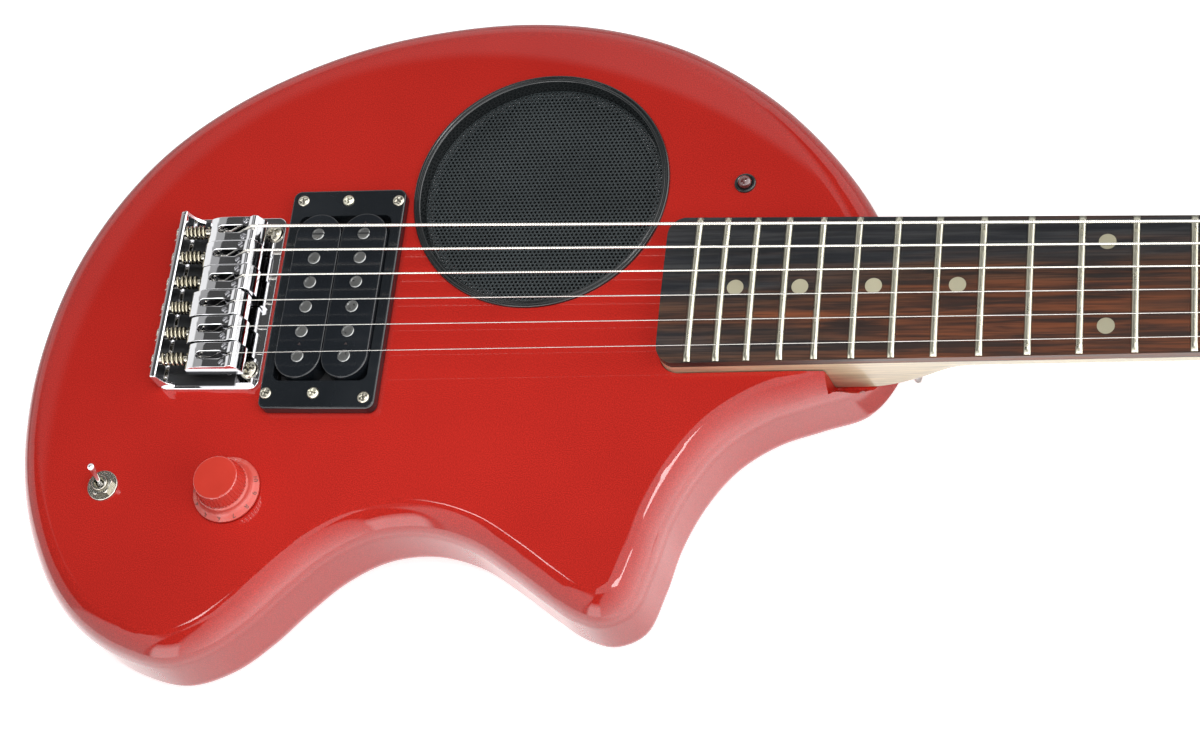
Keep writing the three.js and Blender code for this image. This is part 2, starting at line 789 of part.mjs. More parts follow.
function body() {
  const lampHole = post(lampStemRadius + fitGap, lampCentre,
    bodyThickness / 2, bodyThickness + cutOverrun, middleSides);
  return cutBy(bodyBlank(), [
    neckPocket(), ...neckPlateCuts(), pickupCavity(), speakerChamber(), ...controlCavity(),
    ...batteryCavity(), ...wireDucts(), lampHole, ...jackCuts(),
    ...strapCuts(tailStrapSeat(), tailStrapDirection),
    ...strapCuts(heelStrapSeat(), heelStrapDirection),
  ]);
}

// Neck: a flat top and a back that runs from a square heel to a round grip
function neckRing(x, topZ, depth, halfWidth, squareness) {
  return Array.from({ length: neckArcSteps + 1 }, (_, k) => {
    const angle = (Math.PI * k) / neckArcSteps;
    const side = Math.sign(Math.cos(angle)) * Math.abs(Math.cos(angle)) ** (2 / squareness);
    const down = Math.abs(Math.sin(angle)) ** (2 / squareness);
    const isEdge = k === 0 || k === neckArcSteps;
    return new THREE.Vector3(x, halfWidth * side, topZ - depth * (isEdge ? 0 : down));
  });
}

const eased = (share) => share * share * (3 - 2 * share);
const heelStepShares = [0, 0.12, 0.25, 0.4, 0.56, 0.76, 1];
const headStepShares = [0, 0.3, 0.55, 0.8, 1];
const heelDepthShare = 0.6;

function neckRings() {
  const heelDepth = neckTopZ - heelBottomZ;
  const heelEndX = boardEndFromBridge + heelFlatLength;
  const heelRings = heelStepShares.map((share) => {
    const settled = eased(Math.min(1, share / heelDepthShare));
    const squareness = neckBackSquareness
      + (neckEdgeSquareness - neckBackSquareness) * (1 - share) ** 4;
    const x = heelEndX + share * heelRunoutLength;
    return neckRing(x, neckTopZ, heelDepth + settled * (neckDepthAtHeel - heelDepth),
      halfNeckWidth(x), squareness);
  });
  const blendStart = scaleLength - headBlendBefore;
  const headRings = headStepShares.map((share) => {
    const x = blendStart + share * (headBlendBefore + headBlendAfter);
    const past = Math.max(0, (x - nutEndX) / (scaleLength + headBlendAfter - nutEndX));
    const topZ = neckTopZ - headDrop * eased(past);
    const bottomZ = neckTopZ - neckDepthAtNut
      + (headBottomZ - neckTopZ + neckDepthAtNut) * eased(share);
    const squareness = neckBackSquareness + neckBackSquareness * 3 * share ** 2;
    return neckRing(x, topZ, topZ - bottomZ, halfNeckWidth(scaleLength), squareness);
  });
  const first = neckRing(boardEndFromBridge, neckTopZ, heelDepth,
    halfNeckWidth(boardEndFromBridge), neckEdgeSquareness);
  return [first, ...heelRings, ...headRings];
}

const headPoint = ([along, acrossShare]) => [scaleLength + along * headLength, acrossShare * headWidth];

function headstock() {
  const outline = smoothShape(headOutlineShares.map(headPoint), headOutlineSteps);
  const geometry = new THREE.ExtrudeGeometry(outline, {
    depth: headThickness - 2 * headEdgeSoftening,
    bevelEnabled: true,
    bevelThickness: headEdgeSoftening,
    bevelSize: headEdgeSoftening,
    bevelOffset: -headEdgeSoftening,
    bevelSegments: 1,
  });
  return solid(geometry.translate(0, 0, headBottomZ + headEdgeSoftening));
}

const rodZ = neckTopZ - rodBelowBoard;
const rodStartX = boardEndFromBridge + rodFromBoardEnd;
const rodNutX = nutEndX + rodPocketWidth / 2;
const rodEndX = rodNutX + rodNutLength;

function rodCuts() {
  const pocketEndX = nutEndX + rodPocketLength;
  const pocket = upright(
    stadiumAlongX(rodNutX, pocketEndX, rodPocketWidth),
    rodZ - rodPocketBelowRod, neckTopZ + cutOverrun);
  const channel = bar(rodRadius + fitGap, [rodStartX - fitGap, 0, rodZ],
    [rodNutX, 0, rodZ], smallSides);
  return [pocket, channel];
}

function stadiumAlongX(startX, endX, width) {
  const shape = new THREE.Shape();
  shape.absarc(endX - width / 2, 0, width / 2, -quarterTurn, quarterTurn);
  shape.absarc(startX, 0, width / 2, quarterTurn, Math.PI + quarterTurn);
  return shape;
}

const tunerPlace = (index) => [
  scaleLength + tunerRowFromNut + index * tunerSpacing,
  tunerRowFromCentre - index * tunerLineDrop,
];
const tunerLine = new THREE.Vector3(tunerSpacing, -tunerLineDrop, 0).normalize();
const buttonDirection = new THREE.Vector3(-tunerLine.y, tunerLine.x, 0);

function neck() {
  const plan = upright(neckPlan(scaleLength + headLength, 0), 0, fretTopZ, 3);
  const blank = lofted(neckRings()).intersect(plan).add(headstock());
  const postHoles = stringNumbers.map((index) => post(postRadius + fitGap, tunerPlace(index),
    headBottomZ - cutOverrun, headTopZ + cutOverrun, smallSides));
  const screwHoles = neckScrewPlaces().map((place) =>
    post(neckScrewRadius + fitGap, place, 0, neckScrewLength + 2 * fitGap, screwSides));
  const treeHole = post(treePostRadius + fitGap, treeCentre(),
    headTopZ - headThickness / 2, headTopZ + cutOverrun, smallSides);
  return cutBy(blank, [...postHoles, ...screwHoles, ...rodCuts(), treeHole]);
}

function trussRod() {
  const rod = bar(rodRadius, [rodStartX, 0, rodZ], [rodEndX, 0, rodZ], smallSides);
  const adjuster = bar(rodNutRadius, [rodNutX, 0, rodZ], [rodEndX, 0, rodZ], screwSides);
  return rod.add(adjuster);
}

// Fretboard with its frets
function boardRing(x) {
  const half = halfNeckWidth(x);
  const top = Array.from({ length: fretArcSteps + 1 }, (_, k) => {
    const y = half * (1 - (2 * k) / fretArcSteps);
    return new THREE.Vector3(x, y, boardTopZ - archDrop(y));
  });
  return [...top, new THREE.Vector3(x, -half, neckTopZ), new THREE.Vector3(x, half, neckTopZ)];
}

function fretSolid(fret) {
  const x = fretX(fret);
  const half = halfNeckWidth(x) - fretEndInset;
  const section = [
    [-fretWidth / 2, -fretHeight], [-fretCrownWidth / 2, fretHeight],
    [fretCrownWidth / 2, fretHeight], [fretWidth / 2, -fretHeight],
  ];
  const rings = Array.from({ length: fretArcSteps + 1 }, (_, k) => {
    const y = half * ((2 * k) / fretArcSteps - 1);
    const baseZ = boardTopZ - archDrop(y);
    return section.map(([dx, dz]) => new THREE.Vector3(x + dx, y, baseZ + dz));
  });
  return lofted(rings);
}

function fretboard() {
  const plan = upright(neckPlan(scaleLength, 0), 0, fretTopZ + cutOverrun, 3);
  const board = lofted([boardRing(boardEndFromBridge), boardRing(scaleLength)]).intersect(plan);
  const frets = Array.from({ length: fretCount }, (_, k) => fretSolid(k + 1));
  return joined([board, ...frets]);
}

// Strings
const nutStringZ = (index) =>
  fretTopZ - archDrop(nutStringY(index)) + stringHeightAtNut + stringRadius(index);
const bridgeStringZ = (index) =>
  fretTopZ - archDrop(bridgeStringY(index)) + stringHeightAtBridge - stringRadius(index);
const saddleRearX = (index) => saddleSettings[index] - saddleRear;
const crestX = (index) => saddleRearX(index) + saddleCrestFromRear;
const windingRadius = (index) => postWaistRadius + fitGap + stringRadius(index);
const treeStringZ = neckTopZ + fretHeight + boardThickness - treeStringDrop;

function treeCentre() {
  const x = nutEndX + treeFromNut;
  const [low, high] = treeStringNumbers.map(treeStringY);
  return [x, (low + high) / 2];
}

// Where a string runs in plan, from the nut to the side of its post
function postApproach(index) {
  const [postX, postY] = tunerPlace(index);
  const start = new THREE.Vector2(nutEndX, nutStringY(index));
  const toPost = new THREE.Vector2(postX, postY).sub(start);
  const heading = Math.atan2(toPost.y, toPost.x)
    - Math.asin(windingRadius(index) / toPost.length());
  const touch = new THREE.Vector2(postX, postY).add(
    new THREE.Vector2(Math.sin(heading), -Math.cos(heading)).multiplyScalar(windingRadius(index)));
  return { start, touch, heading };
}

function treeStringY(index) {
  const { start, touch } = postApproach(index);
  const share = treeFromNut / (touch.x - start.x);
  return start.y + share * (touch.y - start.y);
}

const isUnderTree = (index) => treeStringNumbers.includes(index);

function windingPoints(index) {
  const [postX, postY] = tunerPlace(index);
  const { heading } = postApproach(index);
  const pitch = 2 * stringRadius(index) + windingGap;
  const topZ = headTopZ + postAboveHead - postCapHeight - fitGap - stringRadius(index);
  const count = windingTurns * windingSteps;
  return Array.from({ length: count + 1 }, (_, k) => {
    const angle = heading - quarterTurn + (2 * Math.PI * k) / windingSteps;
    return new THREE.Vector3(postX + windingRadius(index) * Math.cos(angle),
      postY + windingRadius(index) * Math.sin(angle), topZ - (pitch * k) / windingSteps);
  });
}

function stringPoints(index) {
  const y = bridgeStringY(index);
  const ballX = -bridgeBack - fitGap - ballRadius;
  const lowZ = bodyThickness + stringHoleHeight;
  const { start, touch } = postApproach(index);
  const nutZ = nutStringZ(index);
  const points = [
    new THREE.Vector3(ballX, y, lowZ),
    new THREE.Vector3(saddleRearX(index) + stringRiseFromRear, y, lowZ),
    new THREE.Vector3(crestX(index), y, bridgeStringZ(index)),
    new THREE.Vector3(scaleLength, nutStringY(index), nutZ),
    new THREE.Vector3(start.x, start.y, nutZ),
  ];
  if (isUnderTree(index)) {
    points.push(new THREE.Vector3(nutEndX + treeFromNut, treeStringY(index), treeStringZ));
  }
  const winding = windingPoints(index);
  const approach = new THREE.Vector3(touch.x, touch.y, winding[0].z);
  return [...points, approach, ...winding.slice(1)];
}

function guitarString(index) {
  const radius = stringRadius(index);
  const points = stringPoints(index);
  const [x, y, z] = points[0].toArray();
  const ball = bar(ballRadius, [x, y - ballLength / 2, z], [x, y + ballLength / 2, z], screwSides);
  return tubeThrough(points, radius, stringSides).add(ball);
}

function nut() {
  const half = halfNeckWidth(scaleLength);
  const topZ = fretTopZ + stringHeightAtNut + 2 * stringRadius(0) + nutAboveStrings;
  const ring = (x, drop) => [
    [half, topZ - drop - archDrop(half)], [half / 2, topZ - drop - archDrop(half / 2)],
    [0, topZ - drop], [-half / 2, topZ - drop - archDrop(half / 2)],
    [-half, topZ - drop - archDrop(half)], [-half, neckTopZ], [half, neckTopZ],
  ].map(([y, z]) => new THREE.Vector3(x, y, z));
  const blank = lofted([ring(scaleLength, 0), ring(nutEndX, nutThickness / 4)]);
  const slots = stringNumbers.map((index) => {
    const y = nutStringY(index);
    const reach = stringRadius(index) + fitGap;
    const floorZ = nutStringZ(index) - reach;
    return block(scaleLength - cutOverrun, nutEndX + cutOverrun, y - reach, y + reach,
      floorZ, topZ + cutOverrun);
  });
  return cutBy(blank, slots);
}

function stringTree() {
  const [x, y] = treeCentre();
  const [first, second] = treeStringNumbers.map(treeStringY);
  const halfSpan = Math.abs(first - second) / 2 + treeOverhang;
  const barBottomZ = treeStringZ + stringRadius(treeStringNumbers[0]) + fitGap;
  const spar = upright(
    roundedRectangle(x - treeBarWidth / 2, x + treeBarWidth / 2, y - halfSpan, y + halfSpan,
      treeBarWidth / 3), barBottomZ, barBottomZ + treeBarThickness, 1);
  const stem = post(treePostRadius, [x, y], headTopZ - headThickness / 2 + fitGap,
    barBottomZ + treeBarThickness, smallSides);
  return spar.add(stem);
}

// Tuners
function tunerPost(index) {
  const topZ = headTopZ + postAboveHead;
  const waistFootZ = headTopZ + postWaistFoot;
  const waistTopZ = topZ - postCapHeight;
  const footZ = headBottomZ - tunerStripThickness - gearHousingDepth / 2;
  const [x, y] = tunerPlace(index);
  const shaft = turned([
    [0, footZ], [postRadius, footZ], [postRadius, waistFootZ - fitGap],
    [postWaistRadius, waistFootZ], [postWaistRadius, waistTopZ], [postRadius - fitGap, waistTopZ],
    [postRadius - fitGap, topZ], [0, topZ],
  ], [x, y], smallSides);
  const slot = block(x - postRadius, x + postRadius, y - postSlotWidth / 2, y + postSlotWidth / 2,
    topZ - postSlotDepth, topZ + cutOverrun);
  return shaft.subtract(slot);
}

// A frame at one tuner: its own x runs along the row of tuners, its own y towards the button
const tunerTurn = Math.atan2(tunerLine.y, tunerLine.x);

function atTuner(index, shape, low, high) {
  const [x, y] = tunerPlace(index);
  const geometry = new THREE.ExtrudeGeometry(shape, {
    depth: high - low, bevelEnabled: false, curveSegments: 1,
  });
  return solid(geometry.rotateZ(tunerTurn).translate(x, y, low));
}

const buttonAxisZ = headBottomZ - tunerStripThickness - gearHousingDepth / 2;

function tunerStrip() {
  const stripBottomZ = headBottomZ - tunerStripThickness;
  const housingBottomZ = stripBottomZ - gearHousingDepth;
  const last = stringNumbers.length - 1;
  const stripLength = tunerSpacing / Math.cos(tunerTurn) * last + gearHousingLength
    + 2 * gearHousingRadius;
  const startX = -gearHousingLength / 2 - gearHousingRadius;
  const plate = atTuner(0, roundedRectangle(startX, startX + stripLength,
    -tunerStripWidth / 2, tunerStripWidth / 2, gearHousingRadius), stripBottomZ, headBottomZ);
  const housings = stringNumbers.map((index) => atTuner(index, roundedRectangle(
    -gearHousingLength / 2, gearHousingLength / 2,
    -tunerStripWidth / 2 + fitGap, tunerStripWidth / 2 - fitGap, gearHousingRadius),
  housingBottomZ, stripBottomZ + tunerStripThickness / 2));
  const bores = stringNumbers.flatMap((index) => {
    const [x, y] = tunerPlace(index);
    const from = new THREE.Vector3(x, y, buttonAxisZ)
      .addScaledVector(buttonDirection, buttonShaftSeat - fitGap);
    const to = new THREE.Vector3(x, y, buttonAxisZ)
      .addScaledVector(buttonDirection, tunerStripWidth);
    return [
      post(postRadius + fitGap, [x, y], buttonAxisZ - fitGap, headBottomZ + cutOverrun,
        smallSides),
      bar(buttonShaftRadius + fitGap, from.toArray(), to.toArray(), screwSides),
    ];
  });
  return cutBy(joined([plate, ...housings]), bores);
}

function tunerButton(index) {
  const [x, y] = tunerPlace(index);
  const start = new THREE.Vector3(x, y, buttonAxisZ).addScaledVector(buttonDirection, buttonShaftSeat);
  const along = (distance) => start.clone().addScaledVector(buttonDirection, distance).toArray();
  const shaft = bar(buttonShaftRadius, along(0), along(buttonShaftLength + buttonHeight / 3),
    screwSides);
  const collar = bar(buttonCollarRadius, along(buttonShaftLength - buttonCollarLength),
    along(buttonShaftLength + buttonHeight / 4), smallSides);
  const outline = new THREE.Shape();
  outline.absellipse(0, 0, buttonWidth / 2, buttonHeight / 2, 0, 2 * Math.PI);
  const paddle = new THREE.ExtrudeGeometry(outline, {
    depth: buttonThickness, bevelEnabled: false, curveSegments: screwSides,
  }).translate(0, buttonHeight / 2, -buttonThickness / 2).rotateZ(tunerTurn);
  return joined([shaft, collar, solid(paddle.translate(...along(buttonShaftLength)))]);
}

// Bridge
function bridgePlate() {
  const frontX = bridgeLength - bridgeBack;
  const half = bridgeWidth / 2;
  const plate = upright(roundedRectangle(-bridgeBack, frontX, -half, half, bridgeCornerRadius),
    bodyThickness, plateTopZ);
  const wallTopZ = bodyThickness + bridgeWallHeight;
  const wall = block(-bridgeBack, wallInnerX, -half + bridgeCornerRadius / 4,
    half - bridgeCornerRadius / 4, bodyThickness, wallTopZ);
  const cheekProfile = shapeOf([
    [wallInnerX - bridgeWallThickness / 2, plateTopZ - bridgePlateThickness / 2],
    [wallInnerX + bridgeWallHeight, plateTopZ - bridgePlateThickness / 2],
    [wallInnerX + bridgeWallHeight, plateTopZ],
    [wallInnerX + bridgeWallThickness, plateTopZ + bridgeWallThickness],
    [wallInnerX, wallTopZ], [wallInnerX - bridgeWallThickness / 2, wallTopZ],
  ]);
  const cheekY = half - bridgeCornerRadius / 4;
  const cheeks = [-1, 1].map((side) => {
    const outer = side * cheekY;
    const inner = side * (cheekY - bridgePlateThickness * 3 / 4);
    return across(cheekProfile, Math.min(outer, inner), Math.max(outer, inner));
  });
  const holes = stringNumbers.map((index) => bar(stringHoleRadius,
    [-bridgeBack - cutOverrun, bridgeStringY(index), bodyThickness + stringHoleHeight],
    [wallInnerX + cutOverrun, bridgeStringY(index), bodyThickness + stringHoleHeight],
    screwSides));
  const screws = stringNumbers.map(intonationScrew);
  return joined([cutBy(joined([plate, wall, ...cheeks]), holes), ...screws]);
}

function intonationScrew(index) {
  const y = bridgeStringY(index);
  const z = bodyThickness + intonationScrewHeight;
  const tipX = saddleRearX(index) + intonationScrewReach;
  const shank = bar(intonationScrewRadius, [-bridgeBack, y, z], [tipX, y, z], screwSides);
  const head = turnedAlong([
    [0, 0], [intonationHeadRadius, 0], [intonationHeadRadius, intonationHeadLength / 2],
    [intonationHeadRadius / 2, intonationHeadLength], [0, intonationHeadLength],
  ], new THREE.Vector3(-bridgeBack + fitGap, y, z), new THREE.Vector3(-1, 0, 0), smallSides);
  return shank.add(head);
}

// A saddle's side profile, from its rear to its nose, under the string's break point
function saddleProfile(index) {
  const rearX = saddleRearX(index);
  const topZ = bridgeStringZ(index) - stringRadius(index) - stringSeat;
  const baseZ = plateTopZ + saddleBaseAbovePlate;
  const noseX = rearX + saddleLength;
  const crest = crestX(index);
  return shapeOf([
    [rearX + saddleEdgeBreak, baseZ], [rearX, baseZ + saddleEdgeBreak],
    [rearX, topZ - saddleRearDrop - saddleEdgeBreak], [rearX + saddleEdgeBreak, topZ - saddleRearDrop],
    [crest - saddleEdgeBreak * 2, topZ - saddleEdgeBreak / 3], [crest, topZ],
    [crest + saddleEdgeBreak, topZ - saddleEdgeBreak / 3],
    [noseX - saddleFrontRun, topZ - saddleFrontDrop], [noseX, topZ - saddleNoseDrop], [noseX, baseZ],
  ]);
}

function saddle(index) {
  const y = bridgeStringY(index);
  const rearX = saddleRearX(index);
  const baseZ = plateTopZ + saddleBaseAbovePlate;
  const radius = stringRadius(index);
  const topZ = bridgeStringZ(index) - radius - stringSeat;
  const blank = across(saddleProfile(index), y - saddleWidth / 2, y + saddleWidth / 2);
  const slotStart = rearX + saddleSlotFromRear;
  const slotEnd = slotStart + saddleSlotLength;
  const slot = upright(shiftedSlot(slotStart, slotEnd, y), baseZ - cutOverrun,
    topZ + cutOverrun);
  const screwBore = bar(intonationScrewRadius + fitGap,
    [rearX - cutOverrun, y, bodyThickness + intonationScrewHeight],
    [slotStart + saddleSlotWidth, y, bodyThickness + intonationScrewHeight], screwSides);
  const riseStartX = rearX + stringRiseFromRear;
  const lowZ = bodyThickness + stringHoleHeight;
  const steepness = (bridgeStringZ(index) - lowZ) / (crestX(index) - riseStartX);
  const grooveX = slotEnd - saddleSlotWidth / 2;
  const grooveZ = lowZ + steepness * (grooveX - riseStartX) - (radius + fitGap) * (1 + steepness / 2);
  const groove = across(shapeOf([
    [grooveX, grooveZ], [crestX(index), topZ], [crestX(index), topZ + cutOverrun],
    [grooveX, topZ + cutOverrun],
  ]), y - saddleGrooveWidth / 2, y + saddleGrooveWidth / 2);
  const legs = [-1, 1].map((side) => post(saddleLegRadius,
    [rearX + saddleLegFromRear, y + side * saddleLegSpread],
    plateTopZ + fitGap, baseZ + saddleEdgeBreak, screwSides));
  return joined([cutBy(blank, [slot, screwBore, groove]), ...legs]);
}

function shiftedSlot(startX, endX, y) {
  const shape = new THREE.Shape();
  const radius = saddleSlotWidth / 2;
  shape.absarc(endX - radius, y, radius, -quarterTurn, quarterTurn);
  shape.absarc(startX + radius, y, radius, quarterTurn, Math.PI + quarterTurn);
  return shape;
}

function springPoints(index) {
  const y = bridgeStringY(index);
  const z = bodyThickness + intonationScrewHeight;
  const startX = wallInnerX + fitGap + springWireRadius;
  const endX = saddleRearX(index) - fitGap - springWireRadius;
  const count = springCurls * springStepsPerCurl;
  return Array.from({ length: count + 1 }, (_, k) => {
    const angle = (2 * Math.PI * k) / springStepsPerCurl;
    return new THREE.Vector3(startX + ((endX - startX) * k) / count,
      y + springMeanRadius * Math.cos(angle), z + springMeanRadius * Math.sin(angle));
  });
}

const saddleSpring = (index) => tubeThrough(springPoints(index), springWireRadius, springSides);

// Pickup
function pickupRing() {
  const [halfX, halfY] = [ringLength / 2, ringWidth / 2];
  const lowX = pickupFromBridge - halfX + ringBevel;
  const highX = pickupFromBridge + halfX - ringBevel;
  const outline = roundedRectangle(lowX, highX, ringBevel - halfY, halfY - ringBevel,
    ringCornerRadius);
  const geometry = new THREE.ExtrudeGeometry(outline, {
    depth: ringHeight - ringBevel,
    bevelEnabled: true,
    bevelThickness: ringBevel,
    bevelSize: ringBevel,
    bevelSegments: 1,
    curveSegments: 2,
  });
  const slab = solid(geometry.translate(0, 0, bodyThickness))
    .intersect(block(lowX - halfX, highX + halfX, -ringWidth, ringWidth, bodyThickness,
      bodyThickness + ringHeight));
  const [holeX, holeY] = [(coilLength + coilPitch) / 2 + fitGap, coilWidth / 2 + fitGap];
  const hole = upright(roundedRectangle(pickupFromBridge - holeX, pickupFromBridge + holeX,
    -holeY, holeY, ringCornerRadius), bodyThickness - cutOverrun,
  bodyThickness + ringHeight + cutOverrun);
  return slab.subtract(hole);
}

const pickupTopZ = bodyThickness + pickupAboveBody;
const coilBottomZ = pickupTopZ - coilHeight;

function pickupCoil(side) {
  const x = pickupFromBridge + (side * coilPitch) / 2;
  const flange = (low) => upright(stadium(x, 0, coilLength, coilWidth), low,
    low + coilFlangeThickness, 3);
  const core = upright(stadium(x, 0, coilLength - 2 * coilWindingInset,
    coilWidth - 2 * coilWindingInset), coilBottomZ, pickupTopZ - coilFlangeThickness / 2, 3);
  const poles = stringNumbers.map((index) =>
    post(poleRadius, [x, (middleString - index) * polePitch], pickupTopZ - coilFlangeThickness,
      pickupTopZ + poleProud, smallSides));
  return joined([flange(coilBottomZ), core, flange(pickupTopZ - coilFlangeThickness), ...poles]);
}

function pickupBase() {
  const halfX = (coilLength + coilPitch) / 2;
  const topZ = coilBottomZ - fitGap;
  const bottomZ = topZ - pickupBaseThickness;
  const plate = block(pickupFromBridge - halfX, pickupFromBridge + halfX,
    -coilWidth / 2, coilWidth / 2, bottomZ, topZ);
  const earReach = coilWidth / 2 + pickupEarLength - 2 * fitGap;
  const ears = block(pickupFromBridge - pickupEarWidth / 2, pickupFromBridge + pickupEarWidth / 2,
    -earReach, earReach, bottomZ, topZ);
  return plate.add(ears);
}

// Speaker
function speakerBezel() {
  const lipInner = bezelRadius - bezelLipWidth;
  const footInner = lipInner - bezelWallRun;
  const topZ = bodyThickness + bezelLipHeight;
  const outer = speakerRimRadius;
  return turned([
    [bezelRadius, bodyThickness], [bezelRadius, topZ - bezelLipHeight / 2],
    [bezelRadius - bezelLipHeight / 2, topZ], [lipInner + bezelLipHeight / 3, topZ],
    [lipInner, topZ - bezelLipHeight / 3], [footInner, grilleTopZ],
    [footInner + bezelWallThickness, grilleTopZ], [outer, bodyThickness - bezelWallThickness],
    [outer, bodyThickness],
  ], speakerCentre, widestSides);
}

// A flat disc pierced by a close pattern of diamond openings
function speakerGrille() {
  const disc = post(grilleRadius, speakerCentre, gasketTopZ, grilleTopZ,
    widestSides);
  const clear = bezelRadius - bezelLipWidth - bezelWallRun - grilleOpeningWidth / 2;
  const rows = Math.ceil(clear / grilleOpeningPitch) * 2;
  const openings = [];
  for (let row = -rows; row <= rows; row += 1) {
    for (let column = -rows; column <= rows; column += 1) {
      const x = (column + (row % 2 ? 1 / 2 : 0)) * grilleOpeningPitch;
      const y = (row * grilleOpeningPitch) / 2;
      if (Math.hypot(x, y) < clear) openings.push([x, y]);
    }
  }
  const [cx, cy] = speakerCentre;
  const half = grilleOpeningWidth / 2;
  const cutters = openings.map(([x, y]) => upright(shapeOf([
    [cx + x + half, cy + y], [cx + x, cy + y + half / 2],
    [cx + x - half, cy + y], [cx + x, cy + y - half / 2],
  ]), gasketTopZ - cutOverrun, grilleTopZ + cutOverrun));
  return disc.subtract(wasm.Manifold.union(cutters));
}

function speakerFrame() {
  const rimInner = speakerRimRadius - speakerRimWidth;
  const shoulderZ = speakerSeatZ - basketShoulder;
  const footZ = speakerSeatZ - basketDepth;
  const floorZ = footZ + basketThickness;
  const bottomZ = magnetBottomZ();
  const gapOuter = coilFormerRadius + 2 * fitGap;
  const gapFloor = footZ - coilFormerLength;
  const basket = turned([
    [speakerRimRadius, speakerSeatZ], [speakerRimRadius, gasketTopZ], [rimInner, gasketTopZ],
    [rimInner, shoulderZ], [basketFootRadius, floorZ], [gapOuter, floorZ],
    [gapOuter, gapFloor], [poleRadiusOfMagnet, gapFloor], [poleRadiusOfMagnet, floorZ],
    [0, floorZ], [0, bottomZ], [magnetRadius, bottomZ], [magnetRadius, footZ],
    [basketFootRadius, footZ], [rimInner + basketThickness, shoulderZ - basketThickness / 2],
    [rimInner + basketThickness, speakerSeatZ],
  ], speakerCentre, wideSides);
  const [cx, cy] = speakerCentre;
  const windowLow = footZ + 3 * basketThickness;
  const windowHigh = shoulderZ - basketThickness;
  const windows = Array.from({ length: basketWindowCount }, (_, k) => {
    const geometry = new THREE.BoxGeometry(speakerRimRadius, basketWindowWidth,
      windowHigh - windowLow);
    geometry.translate(speakerRimRadius / 2 + basketFootRadius - basketThickness, 0,
      (windowLow + windowHigh) / 2);
    geometry.rotateZ((2 * Math.PI * k) / basketWindowCount).translate(cx, cy, 0);
    return solid(geometry);
  });
  return cutBy(basket, windows);
}

function speakerCone() {
  const edgeZ = speakerSeatZ;
  const neckZ = edgeZ - coneDepth;
  const capZ = neckZ + dustCapHeight;
  const outer = speakerRimRadius - speakerRimWidth - fitGap;
  const roll = outer - surroundWidth / 2;
  const inner = outer - surroundWidth;
  const former = coilFormerRadius;
  const formerInner = former - coilFormerThickness;
  return turned([
    [outer, edgeZ - coneThickness], [outer, edgeZ], [roll, edgeZ + surroundHeight - fitGap],
    [inner, edgeZ], [former, neckZ + coneThickness], [former / 2, capZ],
    [0, capZ + coneThickness], [0, capZ], [former / 2 - coneThickness / 2, capZ - coneThickness],
    [formerInner, neckZ - coneThickness / 2], [formerInner, neckZ - coilFormerLength],
    [former, neckZ - coilFormerLength], [former, neckZ - coneThickness],
    [inner, edgeZ - coneThickness], [roll, edgeZ + surroundHeight - fitGap - coneThickness],
  ], speakerCentre, wideSides);
}

// Controls
function volumeKnob() {
  const bottomZ = bodyThickness + knobClearance;
  const topZ = bottomZ + knobHeight;
  const shoulderZ = bottomZ + knobShoulderHeight;
  const bore = potShaftRadius + fitGap;
  const boreTopZ = bodyThickness + potShaftReach + fitGap;
  const hollowZ = bottomZ + knobHollowHeight;
  const hollowRadius = potNutRadius + 2 * knobWall / 3;
  return turned([
    [0, boreTopZ], [bore, boreTopZ], [bore, hollowZ], [hollowRadius, hollowZ],
    [hollowRadius + knobWall / 2, bottomZ], [knobSkirtRadius, bottomZ],
    [knobSkirtRadius, bottomZ + knobSkirtEdge],
    [(knobSkirtRadius + knobShoulderRadius) / 2, bottomZ + knobShoulderHeight / 3],
    [knobShoulderRadius + knobSkirtEdge / 2, bottomZ + knobShoulderHeight * 2 / 3],
    [knobShoulderRadius, shoulderZ], [knobTopRadius + knobEdgeBreak / 4, topZ - knobEdgeBreak],
    [knobTopRadius - knobEdgeBreak, topZ], [0, topZ],
  ], volumeCentre, wideSides);
}

const potTopZ = cavityRoofZ - fitGap;
const potShaftFootZ = potTopZ - potHeight / 3;

function volumePot() {
  const can = post(potRadius, volumeCentre, potTopZ - potHeight, potTopZ, roundSides);
  const bushingTopZ = bodyThickness + fitGap + potNutHeight + fitGap;
  const bushing = post(potBushingRadius, volumeCentre, potTopZ - potHeight / 4, bushingTopZ);
  const potNut = post(potNutRadius, volumeCentre, bodyThickness + fitGap,
    bodyThickness + fitGap + potNutHeight, screwSides);
  const bore = post(potShaftRadius + fitGap, volumeCentre, potShaftFootZ - fitGap,
    bushingTopZ + cutOverrun);
  return joined([can, bushing, potNut]).subtract(bore);
}

const volumeShaft = () => post(potShaftRadius, volumeCentre, potShaftFootZ,
  bodyThickness + potShaftReach);

const switchTopZ = bodyThickness + switchBushingProud;
const leverPivotZ = switchTopZ - leverPivotBelowTop;

function powerSwitch() {
  const [x, y] = switchCentre;
  const caseTopZ = cavityRoofZ - fitGap;
  const seatZ = bodyThickness + fitGap;
  const box = block(x - switchWidth / 2, x + switchWidth / 2, y - switchLength / 2,
    y + switchLength / 2, caseTopZ - switchHeight, caseTopZ);
  const bushing = post(switchBushingRadius, switchCentre, caseTopZ - fitGap, switchTopZ);
  const washer = post(switchWasherRadius, switchCentre, seatZ, seatZ + switchWasherThickness,
    roundSides);
  const hexNut = post(switchNutRadius, switchCentre, seatZ + switchWasherThickness / 2,
    seatZ + switchWasherThickness + switchNutHeight, screwSides);
  const mouth = post(switchBoreRadius, switchCentre, switchTopZ - switchBoreDepth,
    switchTopZ + cutOverrun, smallSides);
  return joined([box, bushing, washer, hexNut]).subtract(mouth);
}

